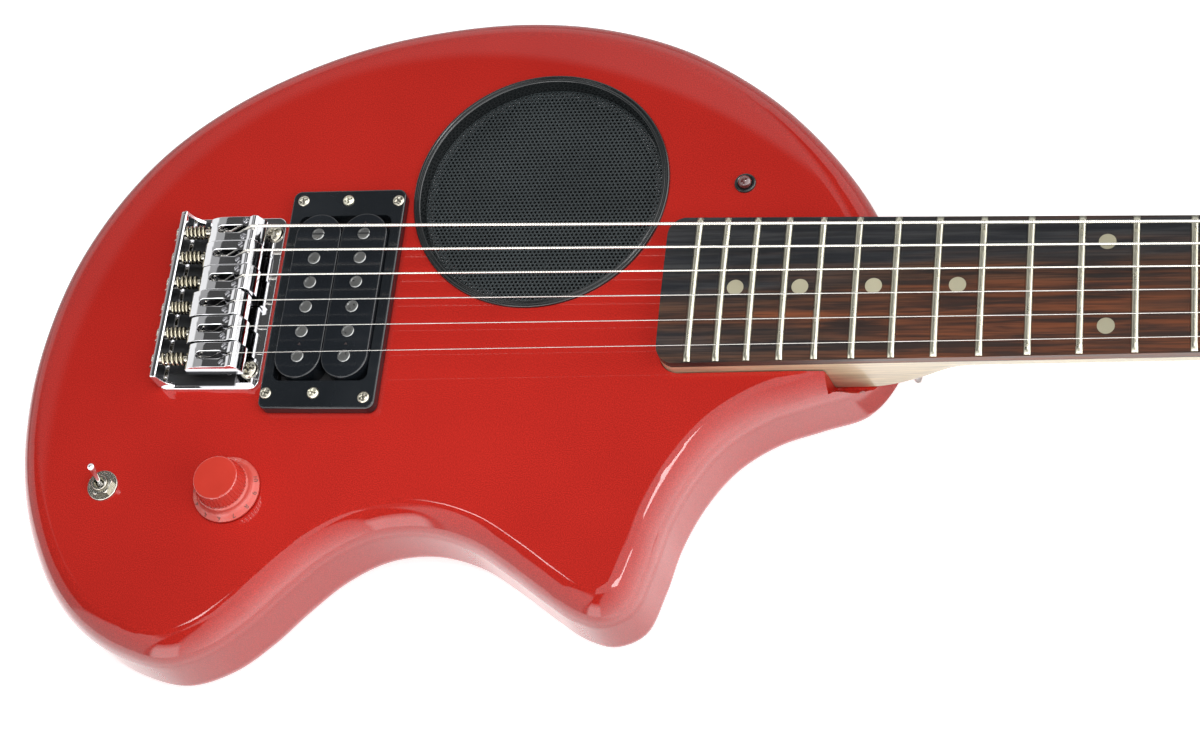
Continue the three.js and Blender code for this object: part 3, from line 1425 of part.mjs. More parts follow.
function switchLever() {
  const [x, y] = switchCentre;
  const direction = new THREE.Vector3(0, Math.sin(leverLean), Math.cos(leverLean));
  const pivot = new THREE.Vector3(x, y, leverPivotZ);
  const tip = leverLength - leverTipRadius;
  const root = leverBallRadius * 3 / 4;
  return turnedAlong([
    [0, -leverBallRadius], [root, -leverBallRadius + leverBallRadius / 3],
    [leverBallRadius, 0], [leverRootRadius, leverBallRadius],
    [leverRootRadius, leverLength / 2], [leverTipRadius, tip],
    [leverTipRadius * 3 / 4, leverLength - leverTipRadius / 3], [0, leverLength],
  ], pivot, direction, smallSides);
}

function powerLamp() {
  const seatZ = bodyThickness;
  const bezelTopZ = seatZ + lampBezelHeight;
  return turned([
    [0, seatZ - lampStemLength], [lampStemRadius, seatZ - lampStemLength],
    [lampStemRadius, seatZ], [lampBezelRadius, seatZ], [lampBezelRadius, bezelTopZ - fitGap],
    [lampBezelRadius - fitGap, bezelTopZ], [lampRadius, bezelTopZ],
    [lampRadius, seatZ + lampHeight - lampRadius / 2],
    [lampRadius * 3 / 4, seatZ + lampHeight - lampRadius / 6], [0, seatZ + lampHeight],
  ], lampCentre, middleSides);
}

// Inside and on the back
function screwedCover(shape, places) {
  const lowZ = fitGap;
  const plate = upright(shape, lowZ, lowZ + coverThickness);
  const screws = places.map((place) => post(coverScrewRadius, place, lowZ, coverScrewLength,
    screwSides));
  return joined([plate, ...screws]);
}

const backCover = () => screwedCover(controlCavityShape(coverMargin), coverScrewPlaces());
const batteryCover = () => screwedCover(batteryCoverShape(0), batteryScrewPlaces());

function battery() {
  const lowZ = coverThickness + 2 * fitGap;
  const startX = batteryFromBridge - (batteryLength + batteryTerminalHeight) / 2;
  const endX = startX + batteryLength;
  const middleZ = lowZ + batteryThickness / 2;
  const cell = block(startX, endX, -batteryFromCentre - batteryWidth / 2,
    -batteryFromCentre + batteryWidth / 2, lowZ, lowZ + batteryThickness);
  const terminals = [-1, 1].map((side) => {
    const y = side * batteryTerminalSpread - batteryFromCentre;
    return bar(batteryTerminalRadius, [endX - batteryTerminalHeight, y, middleZ],
      [endX + batteryTerminalHeight, y, middleZ], smallSides);
  });
  return joined([cell, ...terminals]);
}

function ampBoard() {
  const topZ = cavityRoofZ - ampBoardFromRoof;
  const bottomZ = topZ - boardThicknessOfAmp;
  const lowX = -(cavityBehindBridge - cavityLength / 2) - ampBoardLength / 2;
  const highX = lowX + ampBoardLength;
  const highY = -cavityNearSide - ampStandoffRadius;
  const lowY = highY - ampBoardWidth;
  const middleY = (lowY + highY) / 2;
  const slab = block(lowX, highX, lowY, highY, bottomZ, topZ);
  const chip = block(lowX + ampBoardLength / 2 - ampChipLength / 2,
    lowX + ampBoardLength / 2 + ampChipLength / 2, middleY - ampChipWidth / 2,
    middleY + ampChipWidth / 2, bottomZ - ampChipHeight, bottomZ + boardThicknessOfAmp / 2);
  const capacitors = [1, 2].map((step) => post(ampCapacitorRadius,
    [highX - step * 2.5 * ampCapacitorRadius, middleY], bottomZ - ampCapacitorHeight,
    bottomZ + boardThicknessOfAmp / 2, middleSides));
  const standoffs = [lowX + 2 * ampStandoffRadius, highX - 2 * ampStandoffRadius].map((x) =>
    post(ampStandoffRadius, [x, highY - 2 * ampStandoffRadius], topZ - boardThicknessOfAmp / 2,
      cavityRoofZ - fitGap, screwSides));
  return joined([slab, chip, ...capacitors, ...standoffs]);
}

function outputJack() {
  const y = -jackFromCentre;
  const outerX = jackSeatX - jackFlangeThickness;
  const innerX = jackSeatX + jackBarrelLength;
  const soft = jackFlangeThickness / 2;
  const shell = turnedAlong([
    [0, 0], [jackFlangeRadius - soft, 0], [jackFlangeRadius, soft],
    [jackFlangeRadius, jackFlangeThickness], [jackBarrelRadius, jackFlangeThickness],
    [jackBarrelRadius, innerX - outerX], [0, innerX - outerX],
  ], new THREE.Vector3(outerX, y, jackLevel), new THREE.Vector3(1, 0, 0), roundSides);
  const socket = bar(jackSocketRadius, [outerX - cutOverrun, y, jackLevel],
    [outerX + jackSocketDepth, y, jackLevel], middleSides);
  return shell.subtract(socket);
}

function neckPlate() {
  const plate = upright(neckPlateShape(0), fitGap, fitGap + neckPlateThickness);
  const screws = neckScrewPlaces().map((place) =>
    post(neckScrewRadius, place, fitGap, neckScrewLength, screwSides));
  return joined([plate, ...screws]);
}

function strapButton(seat, direction) {
  const top = strapButtonHeight;
  return turnedAlong([
    [0, -strapScrewLength], [strapScrewRadius, -strapScrewLength], [strapScrewRadius, 0],
    [strapFootRadius, 0], [strapFootRadius, strapFootThickness],
    [strapWaistRadius, strapFootThickness * 2], [strapWaistRadius, top - strapHeadThickness * 2],
    [strapHeadRadius, top - strapHeadThickness], [strapHeadRadius, top - strapHeadThickness / 3],
    [strapHeadRadius * 3 / 4, top], [0, top],
  ], seat, direction, middleSides);
}

// Assembly
const group = new THREE.Group();
const numbered = (name, make, material) =>
  stringNumbers.map((index) => piece(`${name}_${index + 1}`, make(index), material));

group.add(
  piece('body', body(), redGloss),
  piece('neck', neck(), maple),
  piece('truss_rod', trussRod(), steel),
  piece('fretboard', fretboard(), rosewood),
  piece('nut', nut(), boneWhite),
  piece('string_tree', stringTree(), nickel),
  piece('neck_plate', neckPlate(), chrome),
  piece('heel_strap_button', strapButton(heelStrapSeat(), heelStrapDirection), chrome),
  piece('tail_strap_button', strapButton(tailStrapSeat(), tailStrapDirection), chrome),
  piece('bridge_plate', bridgePlate(), chrome),
  ...numbered('saddle', saddle, chrome),
  ...numbered('saddle_spring', saddleSpring, nickel),
  ...numbered('string', guitarString, wire),
  piece('pickup_ring', pickupRing(), blackPlastic),
  piece('pickup_base', pickupBase(), nickel),
  piece('bridge_coil', pickupCoil(-1), blackPlastic),
  piece('neck_coil', pickupCoil(1), blackPlastic),
  piece('speaker_bezel', speakerBezel(), blackPlastic),
  piece('speaker_grille', speakerGrille(), blackMetal),
  piece('speaker_frame', speakerFrame(), steel),
  piece('speaker_cone', speakerCone(), paperCone),
  piece('volume_knob', volumeKnob(), redPlastic),
  piece('volume_shaft', volumeShaft(), nickel),
  piece('volume_pot', volumePot(), nickel),
  piece('power_switch', powerSwitch(), nickel),
  piece('switch_lever', switchLever(), chrome),
  piece('power_lamp', powerLamp(), lampRed),
  piece('back_cover', backCover(), blackPlastic),
  piece('battery_cover', batteryCover(), blackPlastic),
  piece('battery', battery(), batteryBlack),
  piece('amp_board', ampBoard(), boardGreen),
  piece('output_jack', outputJack(), chrome),
  piece('tuner_strip', tunerStrip(), chrome),
  ...numbered('tuner_post', tunerPost, nickel),
  ...numbered('tuner_button', tunerButton, chrome),
);

const coilGaps = stringNumbers.map((index) => [
  leastTurnGap(springPoints(index), 2 * springWireRadius, springStepsPerCurl),
  leastTurnGap(windingPoints(index), 2 * stringRadius(index), windingSteps),
]);
console.log('least gap of a spring', Math.min(...coilGaps.map(([spring]) => spring)));
console.log('least gap of a string winding', Math.min(...coilGaps.map(([, winding]) => winding)));

export default group;
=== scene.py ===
"""Looks for the travel electric guitar: smooth skins over the CAD solids, materials, studio."""
import math

import bmesh
import bpy
from mathutils import Matrix, Vector


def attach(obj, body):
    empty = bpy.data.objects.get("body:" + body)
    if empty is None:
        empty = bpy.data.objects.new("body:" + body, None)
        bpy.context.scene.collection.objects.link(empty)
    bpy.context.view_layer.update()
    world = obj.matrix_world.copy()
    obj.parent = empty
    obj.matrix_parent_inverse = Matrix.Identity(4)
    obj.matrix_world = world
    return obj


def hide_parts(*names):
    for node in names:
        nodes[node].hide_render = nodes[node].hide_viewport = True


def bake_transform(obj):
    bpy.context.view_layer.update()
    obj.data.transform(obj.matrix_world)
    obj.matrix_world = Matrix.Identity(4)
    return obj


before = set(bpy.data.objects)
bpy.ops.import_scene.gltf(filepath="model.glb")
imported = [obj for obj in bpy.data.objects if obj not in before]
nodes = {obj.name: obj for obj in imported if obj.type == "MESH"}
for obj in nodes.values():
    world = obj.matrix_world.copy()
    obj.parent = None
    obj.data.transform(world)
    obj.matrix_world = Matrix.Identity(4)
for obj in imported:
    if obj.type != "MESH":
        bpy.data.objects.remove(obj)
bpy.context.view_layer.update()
scene = bpy.context.scene
MM = 0.001
ROOT = "guitar"

# sizes, in millimetres
SCALE = 609.6
BODY_T = 40.0
BODY_LEN, BODY_WIDE, BODY_TAIL, ROUND = 327.0, 262.3, 85.0, 11.5
BODY_SHARES = [
    (1, -0.019), (0.995, -0.065), (0.964, -0.12), (0.915, -0.143), (0.867, -0.165),
    (0.825, -0.202), (0.794, -0.254), (0.772, -0.315), (0.759, -0.379), (0.741, -0.437),
    (0.708, -0.457), (0.676, -0.448), (0.642, -0.4225), (0.599, -0.386), (0.551, -0.351),
    (0.495, -0.334), (0.441, -0.342), (0.395, -0.373), (0.357, -0.417), (0.321, -0.465),
    (0.28, -0.506), (0.229, -0.5285), (0.176, -0.516), (0.122, -0.4815), (0.0765, -0.427),
    (0.036, -0.341), (0.0108, -0.248), (0, -0.133), (0.0052, -0.027), (0.023, 0.0745),
    (0.058, 0.1735), (0.11, 0.265), (0.18, 0.3405), (0.262, 0.3985), (0.352, 0.4405),
    (0.45, 0.4645), (0.547, 0.4705), (0.642, 0.4555), (0.737, 0.4155), (0.8245, 0.3485),
    (0.887, 0.2785), (0.9475, 0.1855), (0.982, 0.1065), (0.998, 0.038),
]
BOARD_END, BOARD_W, NUT_W, CORNER = 159.6, 57.6, 42.4, 7.0
FRET_TOP, BOARD_TOP, NECK_TOP, HEEL_Z = 49.5, 48.5, 44.1, 24.5
NUT_END = SCALE + 3.6
HEAD_TOP, HEAD_BOTTOM, HEAD_LEN, HEAD_WIDE = 39.0, 25.5, 178, 64.5
NECK_DEEP, NECK_THIN, NECK_AT_NUT = 19.6, 15.2, 14.4
HEAD_SHARES = [
    (0, -0.329), (0.09, -0.324), (0.18, -0.327), (0.31, -0.372), (0.48, -0.432),
    (0.68, -0.458), (0.86, -0.43), (0.96, -0.33), (1, -0.17), (0.985, -0.02), (0.94, 0.075),
    (0.85, 0.165), (0.5, 0.335), (0.24, 0.47), (0.165, 0.508), (0.115, 0.48), (0.065, 0.395),
    (0, 0.329),
]
DOT_FRETS = (3, 5, 7, 9, 12, 15, 17, 19, 21)
STRING_D = [1.17, 0.91, 0.66, 0.43, 0.33, 0.25]
BRIDGE_Y = [(2.5 - i) * 10.5 for i in range(6)]
NUT_Y = [(2.5 - i) * 7.1 for i in range(6)]
SADDLE_SET = [0, 0.1, 0.7, -1, 0, 1.1]
SADDLE_REAR = [shift - 17 for shift in SADDLE_SET]
CREST = [rear + 18.6 for rear in SADDLE_REAR]
SPEAKER = (107.8, 45.6)
KNOB = (5.5, -75.0)
FIRST_NUMBER, NUMBER_STEP = -260, 28
SWITCH = (-43.5, -73.6)
LAMP = (184.4, 46.3)
PICKUP_X = 35.3
JACK_PLACE = (-44, 20)
BACK_COVER = (-66, 30, -98, -32, 15)
BATTERY_COVER = (71.2, 140.8, -55.6, -20.4, 4)
NECK_PLATE = (173.6, 219.6, -22, 22, 6)
CLEAR, SUNK, COVER_TOP = 0.3, 0.3, 2.3
TUNERS = [(SCALE + 30.4 + i * 24.5, 21.3 - i * 4.9) for i in range(6)]
ROW = Vector((24.5, -4.9, 0)).normalized()
OUT = Vector((-ROW.y, ROW.x, 0))
ROW_TURN = math.atan2(ROW.y, ROW.x)
STRIP_BOTTOM, CASE_DEEP = HEAD_BOTTOM - 1.2, 9.5
BUTTON_Z = STRIP_BOTTOM - CASE_DEEP / 2
POST_TOP, POST_WAIST = HEAD_TOP + 8.6, 2.4
STRING_HOLE_Z, SADDLE_SCREW_Z = 43.2, 47.5
WALL_BACK, WALL_FRONT = -29, -26.5
BUTTON_SEAT_Z, TAIL_WAY = 12.5, Vector((-0.869, 0.495, 0))
RING_TOP = 44.8
DOWN, UP, BACKWARD, FORWARD = (0, 0, -1), (0, 0, 1), (-1, 0, 0), (1, 0, 0)


def half_neck(x):
    return (BOARD_W - (BOARD_W - NUT_W) / (SCALE - BOARD_END) * (x - BOARD_END)) / 2


def arch(y):
    return y * y / 800


def fret_x(n):
    return SCALE / 2 ** (n / 12)


def before_fret(n):
    """The middle of the space below fret n."""
    return (fret_x(n) + fret_x(n - 1)) / 2


# mesh helpers
def linked(name, data):
    made = bpy.data.objects.new(name, data)
    scene.collection.objects.link(made)
    return made


def mesh_of(name, verts, faces, clean=True):
    mesh = bpy.data.meshes.new(name)
    mesh.from_pydata([(x * MM, y * MM, z * MM) for x, y, z in verts], [], faces)
    if clean:
        work = bmesh.new()
        work.from_mesh(mesh)
        bmesh.ops.remove_doubles(work, verts=work.verts, dist=1e-7)
        bmesh.ops.recalc_face_normals(work, faces=work.faces)
        work.to_mesh(mesh)
        work.free()
    return linked(name, mesh)


def settle(obj):
    """Applies every modifier of obj to its mesh."""
    graph = bpy.context.evaluated_depsgraph_get()
    mesh = bpy.data.meshes.new_from_object(obj.evaluated_get(graph))
    obj.modifiers.clear()
    obj.data = mesh
    return obj


def combine(obj, others, operation="DIFFERENCE"):
    for other in others:
        step = obj.modifiers.new("combine", "BOOLEAN")
        step.operation = operation
        step.solver = "MANIFOLD"
        step.object = other
    settle(obj)
    for other in others:
        bpy.data.objects.remove(other)
    return obj


def soften(obj, width, segments=2, angle=30):
    step = obj.modifiers.new("soften", "BEVEL")
    step.width = width * MM
    step.segments = segments
    step.limit_method = "ANGLE"
    step.angle_limit = math.radians(angle)
    return settle(obj)


def smooth(obj, angle=35):
    """Smooth shading in which flat faces, also split ones, stay flat out to their bevels."""
    mesh = obj.data
    work = bmesh.new()
    work.from_mesh(mesh)
    area = {}
    for first in work.faces:
        if first.index in area:
            continue
        area[first.index], group = 0, [first]
        for face in group:
            for edge in face.edges:
                for other in edge.link_faces:
                    if other.index not in area and face.normal.dot(other.normal) > 0.99999:
                        area[other.index] = 0
                        group.append(other)
        total = sum(face.calc_area() for face in group)
        for face in group:
            area[face.index] = total ** 3
    limit = math.cos(math.radians(angle))
    normals = []
    for face in work.faces:
        for corner in face.loops:
            total = Vector()
            for other in corner.vert.link_faces:
                if other.normal.dot(face.normal) > limit:
                    total += other.normal * area[other.index]
            normals.append(total.normalized())
    work.free()
    mesh.shade_smooth()
    mesh.normals_split_custom_set(normals)
    return obj


def merged(name, objects):
    work = bmesh.new()
    for obj in objects:
        work.from_mesh(obj.data)
    mesh = bpy.data.meshes.new(name)
    work.to_mesh(mesh)
    work.free()
    for obj in objects:
        bpy.data.objects.remove(obj)
    return linked(name, mesh)


def moved(obj, matrix):
    obj.data.transform(matrix)
    obj.data.update()
    return obj


def at(x, y, z):
    return Matrix.Translation((x * MM, y * MM, z * MM))


def facing(direction):
    return Vector(UP).rotation_difference(Vector(direction)).to_matrix().to_4x4()


def prism(name, outline, low, high):
    return loft(name, [[(x, y, z) for x, y in outline] for z in (low, high)])


def side_prism(name, outline, low, high):
    """An outline of x and z, carried along y."""
    return loft(name, [[(x, y, z) for x, z in outline] for y in (low, high)])


def box(name, x0, x1, y0, y1, z0, z1):
    return prism(name, [(x0, y0), (x1, y0), (x1, y1), (x0, y1)], z0, z1)


def about(x, half_x, half_y):
    return x - half_x, x + half_x, -half_y, half_y


def grown(outline, by):
    x0, x1, y0, y1, radius = outline
    return x0 - by, x1 + by, y0 - by, y1 + by, radius + by


def arc(cx, cy, radius, start, end, count):
    return [(cx + radius * math.cos(start + (end - start) * k / count),
             cy + radius * math.sin(start + (end - start) * k / count))
            for k in range(count + 1)]


def circle(x, y, radius, count, start=0.0):
    return arc(x, y, radius, start, start + 2 * math.pi, count)[:-1]


def rounded(x0, x1, y0, y1, radius, count=8):
    """A rectangle with rounded corners, or a pill where radius is half its width."""
    left, right, near, far = x0 + radius, x1 - radius, y0 + radius, y1 - radius
    q = math.pi / 2
    return [point for k, corner in enumerate(((right, far), (left, far), (left, near),
                                              (right, near)))
            for point in arc(*corner, radius, k * q, (k + 1) * q, count)]


def lathe(name, profile, centre=(0, 0), sides=64):
    """A profile of radius and height turned about the vertical through centre."""
    rows, verts, faces = [], [], []
    for r, z in profile:
        start = len(verts)
        verts += [(x, y, z) for x, y in circle(*centre, r, sides if r else 1)]
        rows.append(range(start, len(verts)))
    pairs = list(zip(rows, rows[1:])) + ([(rows[-1], rows[0])] if profile[0][0] else [])
    for a, b in pairs:
        for k in range(sides):
            m = (k + 1) % sides
            corners = a[k % len(a)], a[m % len(a)], b[m % len(b)], b[k % len(b)]
            faces.append(list(dict.fromkeys(corners)))
    return mesh_of(name, verts, faces)


def bar(name, radius, start, end, sides=32):
    a, b = Vector(start), Vector(end)
    obj = lathe(name, [(0, 0), (radius, 0), (radius, (b - a).length), (0, (b - a).length)],
                sides=sides)
    return moved(obj, at(*a) @ facing(b - a))


def loft(name, rings):
    """A closed solid through rings of the same number of corners."""
    size = len(rings[0])
    verts = [place for ring in rings for place in ring]
    faces = []
    for row in range(len(rings) - 1):
        for k in range(size):
            a, b = row * size + k, row * size + (k + 1) % size
            faces.append([a, b, b + size, a + size])
    last = len(verts) - size
    faces += [list(range(size))[::-1], list(range(last, last + size))]
    return mesh_of(name, verts, faces)


def tube(name, points, radius, sides=10):
    points = [Vector(p) for p in points]
    normal = Vector((0, 0, 1))
    rings = []
    for row, place in enumerate(points):
        before, after = points[max(row - 1, 0)], points[min(row + 1, len(points) - 1)]
        tangent = (after - before).normalized()
        normal = (normal - tangent * normal.dot(tangent)).normalized()
        side = tangent.cross(normal)
        rings.append([place + normal * a + side * b for a, b in circle(0, 0, radius, sides)])
    return loft(name, rings)


def smooth_loop(points, count):
    """Even points on the closed centripetal curve that the CAD outline uses."""
    dense, n = [], len(points)
    for i in range(n):
        p0, p1, p2, p3 = (Vector(points[(i + k - 1) % n]) for k in range(4))
        d0, d1, d2 = ((b - a).length ** 0.5 for a, b in ((p0, p1), (p1, p2), (p2, p3)))
        t1 = ((p1 - p0) / d0 - (p2 - p0) / (d0 + d1) + (p2 - p1) / d1) * d1
        t2 = ((p2 - p1) / d1 - (p3 - p1) / (d1 + d2) + (p3 - p2) / d2) * d1
        for k in range(40):
            t = k / 40
            dense.append(p1 + t1 * t + (3 * p2 - 3 * p1 - 2 * t1 - t2) * t * t
                         + (2 * p1 - 2 * p2 + t1 + t2) * t ** 3)
    dense.append(dense[0])
    lengths = [0.0]
    for a, b in zip(dense, dense[1:]):
        lengths.append(lengths[-1] + (b - a).length)
    out, j = [], 0
    for k in range(count):
        want = lengths[-1] * k / count
        while lengths[j + 1] < want:
            j += 1
        share = (want - lengths[j]) / (lengths[j + 1] - lengths[j])
        out.append(dense[j].lerp(dense[j + 1], share))
    return out


def inset(loop, distance):
    n = len(loop)
    area = sum(loop[i].x * loop[(i + 1) % n].y - loop[(i + 1) % n].x * loop[i].y
               for i in range(n))
    turn = 1 if area > 0 else -1
    out = []
    for i in range(n):
        along = (loop[(i + 1) % n] - loop[i - 1]).normalized()
        out.append(loop[i] + Vector((-along.y, along.x)) * turn * distance)
    return out


def rim_rings(loop, level, radius, steps, up):
    rings = []
    for k in range(steps + 1):
        angle = math.pi / 2 * k / steps
        ring = inset(loop, radius * (1 - math.sin(angle)))
        rings.append([(p.x, p.y, level + up * radius * (1 - math.cos(angle))) for p in ring])
    return rings


def rounded_slab(name, loop, low, high, radius, steps, top_radius=None):
    """A slab whose two long edges are rounded over, from a smooth outline."""
    under = rim_rings(loop, low, radius, steps, 1)
    over = rim_rings(loop, high, top_radius or radius, steps, -1)
    return loft(name, under + over[::-1])


# materials
def material(name, color, rough, metal=0.0, coat=0.0, coat_rough=0.03, **sockets):
    made = bpy.data.materials.new(name)
    made.use_nodes = True
    sockets.update(Base_Color=(*color, 1), Roughness=rough, Metallic=metal, Coat_Weight=coat,
                   Coat_Roughness=coat_rough)
    for key, value in sockets.items():
        socket = made.node_tree.nodes["Principled BSDF"].inputs[key.replace("_", " ")]
        socket.default_value = value
    return made


class Nodes:
    """Short calls for one node tree. An input takes a value or another node's output."""

    def __init__(self, owner):
        self.tree = owner.node_tree
        self.shader = self.tree.nodes.get("Principled BSDF")

    def put(self, socket, value):
        if hasattr(value, "is_linked"):
            self.tree.links.new(value, socket)
        else:
            socket.default_value = value

    def add(self, kind, *inputs, **values):
        made = self.tree.nodes.new("ShaderNode" + kind)
        for key, value in values.items():
            if key in made.inputs.keys():
                self.put(made.inputs[key], value)
            else:
                setattr(made, key, value)
        for socket, value in enumerate(inputs):
            self.put(made.inputs[socket], value)
        return made

    def math(self, operation, *inputs):
        return self.add("Math", *inputs, operation=operation).outputs[0]

    def both(self, a, b):
        return self.math("MULTIPLY", a, b)

    def either(self, a, b):
        return self.math("MAXIMUM", a, b)

    def span(self, value, low, high, start=0.3, end=0.7):
        """Low up to start, high past end, and even between them."""
        return self.add("MapRange", value, start, end, low, high).outputs["Result"]

    def axes(self):
        return self.add("SeparateXYZ", self.add("TexCoord").outputs["Object"]).outputs

    def place(self, scale=(1, 1, 1)):
        coord = self.add("TexCoord").outputs["Object"]
        return self.add("Mapping", coord, Scale=scale).outputs["Vector"]

    def noise(self, vector, scale, detail=4, rough=0.5, distortion=0.0):
        return self.add("TexNoise", vector, Scale=scale, Detail=detail, Roughness=rough,
                        Distortion=distortion).outputs["Fac"]

    def ramp(self, factor, *stops):
        made = self.add("ValToRGB", factor)
        points = made.color_ramp.elements
        while len(points) < len(stops):
            points.new(0.5)
        for point, (place, color) in zip(points, stops):
            point.position = place
            point.color = (*color, 1)
        return made.outputs["Color"]

    def mix(self, factor, a, b, mode="MIX"):
        made = self.add("Mix", factor, data_type="RGBA", blend_type=mode)
        for socket, value in ((6, a), (7, b)):
            self.put(made.inputs[socket], (*value, 1) if isinstance(value, tuple) else value)
        return made.outputs[2]

    def look(self, color=None, rough=None, bump=None):
        """Sets the shader's colour and roughness, and a bump of height, strength, distance."""
        if color is not None:
            self.put(self.shader.inputs["Base Color"], color)
        if rough is not None:
            self.put(self.shader.inputs["Roughness"], rough)
        if bump:
            height, strength, distance = bump
            made = self.add("Bump", Height=height, Strength=strength, Distance=distance)
            self.put(self.shader.inputs["Normal"], made.outputs["Normal"])


def grey(value):
    return (value,) * 3


def lacquer():
    made = material("red_lacquer", (0.5, 0.014, 0.010), 0.5, coat=1.0, coat_rough=0.02,
                    Specular_IOR_Level=0.0)
    n = Nodes(made)
    place = n.place()
    clouds, flake = n.noise(place, 14, 3), n.noise(place, 2600, 2)
    base = n.ramp(clouds, (0.3, (0.5, 0.02, 0.0135)), (0.7, (0.57, 0.0245, 0.0165)))
    spark = n.ramp(flake, (0.35, grey(0.74)), (0.7, grey(1.2)))
    n.look(n.mix(1.0, base, spark, "MULTIPLY"), n.span(flake, 0.44, 0.56),
           (n.noise(place, 420, 2), 0.02, 0.0002))
    return made


def maple():
    """Straight grain along x: broad bands, fine streaks and short pores."""
    made = material("maple", (0.75, 0.67, 0.48), 0.36, coat=0.35, coat_rough=0.12)
    n = Nodes(made)
    bands = n.noise(n.place((1.08, 9, 9)), 5, 4, 0.55, 0.6)
    streaks = n.noise(n.place((3.15, 81, 81)), 9, 4, 0.6)
    pores = n.noise(n.place((12.6, 270, 270)), 12, 2)
    base = n.ramp(bands, (0.3, (0.65, 0.545, 0.355)), (0.7, (0.75, 0.67, 0.48)))
    lines = n.ramp(streaks, (0.3, (0.62, 0.6, 0.58)), (0.65, (1.12, 1.1, 1.08)))
    holes = n.ramp(pores, (0.3, grey(0.86)), (0.4, grey(1)))
    n.look(n.mix(1.0, n.mix(1.0, base, lines, "MULTIPLY"), holes, "MULTIPLY"),
           n.span(streaks, 0.3, 0.46), (pores, 0.12, 0.0003))
    return made


def rosewood():
    """Dark boards with warm brown streaks. The tone is greyer at the body end and warmer towards
    the treble side and the nut: partly the wood's own tone, partly painted sheen.
    """
    made = material("rosewood", (0.03, 0.02, 0.018), 0.5, Specular_IOR_Level=0.35)
    n = Nodes(made)
    x, y, _ = n.axes()
    bands = n.noise(n.place((5, 110, 110)), 1.0, 4, 0.5, 0.5)
    streaks = n.noise(n.place((24, 430, 430)), 1.0, 4, 0.55, 0.3)
    pores = n.noise(n.place((30, 1500, 1500)), 1.0, 2, 0.5)
    # lean is the positional tone shift, partly wood tone and partly painted sheen, greyest at the
    # body end
    lean = n.math("ADD", n.span(y, 0.0, 0.3, 0.02, -0.012), n.span(x, -0.16, 0.06, 0.16, 0.26))
    base = n.ramp(n.math("ADD", lean, bands), (0.5, (0.02, 0.0215, 0.025)),
                  (0.68, (0.058, 0.028, 0.017)), (0.9, (0.125, 0.038, 0.015)))
    lines = n.ramp(streaks, (0.4, (0.22, 0.26, 0.34)), (0.54, (1.0, 0.98, 0.95)),
                   (0.66, (1.45, 1.38, 1.25)))
    holes = n.ramp(pores, (0.4, grey(0.5)), (0.5, grey(1)))
    n.look(n.mix(1.0, n.mix(1.0, base, lines, "MULTIPLY"), holes, "MULTIPLY"),
           n.span(streaks, 0.42, 0.58), (pores, 0.12, 0.0003))
    return made


def metal(name, color, rough, spread=0.03, scale=160, bump=0.01):
    made = material(name, color, rough, metal=1.0)
    n = Nodes(made)
    place = n.place()
    smudge = n.noise(place, scale, 4)
    dull = tuple(value * 0.9 for value in color)
    n.look(n.ramp(n.noise(place, scale * 0.3, 2), (0.3, dull), (0.65, color)),
           n.span(smudge, max(rough - spread, 0.02), rough + spread), (smudge, bump, 0.0002))
    return made


def plate_chrome():
    """Chrome with painted shade where the saddles stand over it: the plate top there is painted
    dark and dull.
    """
    made = metal("plate_chrome", (0.8, 0.8, 0.82), 0.05, 0.02)
    n = Nodes(made)
    x, y, z = n.axes()
    # share masks the plate top under the saddles, where the colour and roughness are painted shade
    share = n.span(x, 0, 1, -0.0262, -0.0255)
    for axis, start, end in ((x, 0.002, 0.001), (y, 0.0345, 0.034), (y, -0.0345, -0.034),
                             (z, 0.0417, 0.0415)):
        share = n.both(share, n.span(axis, 0, 1, start, end))
    before = [n.shader.inputs[name].links[0].from_socket for name in ("Base Color", "Roughness")]
    n.look(n.mix(share, before[0], (0.05, 0.052, 0.055)), n.mix(share, before[1], grey(0.5)))
    return made


def plastic(name, color, rough, grain=900, bump=0.05, coat=0.0, spread=0.06):
    made = material(name, color, rough, coat=coat)
    n = Nodes(made)
    place = n.place()
    fine, soft = n.noise(place, grain, 3), n.noise(place, 35, 3)
    pale = tuple(min(value * 1.25 + 0.001, 1) for value in color)
    n.look(n.ramp(soft, (0.3, color), (0.7, pale)),
           n.span(soft, max(rough - spread, 0.03), rough + spread), (fine, bump, 0.0002))
    return made


def wound_wire():
    made = material("wound_wire", (0.78, 0.76, 0.7), 0.3, metal=1.0)
    n = Nodes(made)
    wave = n.add("TexWave", n.place(), Scale=520.0, Distortion=0.0,
                 bands_direction="X").outputs["Fac"]
    # the dark bands of the wave are painted shade in the grooves between the windings
    n.look(n.ramp(wave, (0.1, (0.45, 0.43, 0.38)), (0.5, (0.86, 0.84, 0.78))),
           n.span(wave, 0.34, 0.22, 0, 1), (wave, 0.6, 0.0003))
    return made


RED = lacquer()
MAPLE = maple()
ROSEWOOD = rosewood()
CHROME = metal("chrome", (0.8, 0.8, 0.82), 0.05, 0.02)
PLATE_CHROME = plate_chrome()
NICKEL = metal("nickel", (0.5, 0.48, 0.42), 0.2, 0.05)
FRET = metal("fret_wire", (0.52, 0.505, 0.41), 0.3, 0.04, 300, 0.004)
STEEL = metal("steel", (0.42, 0.42, 0.43), 0.35, 0.08, 90, 0.05)
SPRING = metal("spring_wire", (0.36, 0.33, 0.25), 0.12, 0.03)
SCREW = metal("screw_head", (0.4, 0.38, 0.32), 0.2, 0.05)
SLUG = metal("slug_steel", (0.26, 0.265, 0.26), 0.32, 0.06, 700, 0.08)
PLAIN_WIRE = metal("plain_wire", (0.6, 0.59, 0.56), 0.2, 0.04, 500)
WOUND_WIRE = wound_wire()
RING_BLACK = plastic("ring_black", (0.010, 0.0125, 0.0155), 0.16, 1400, 0.06, spread=0.03)
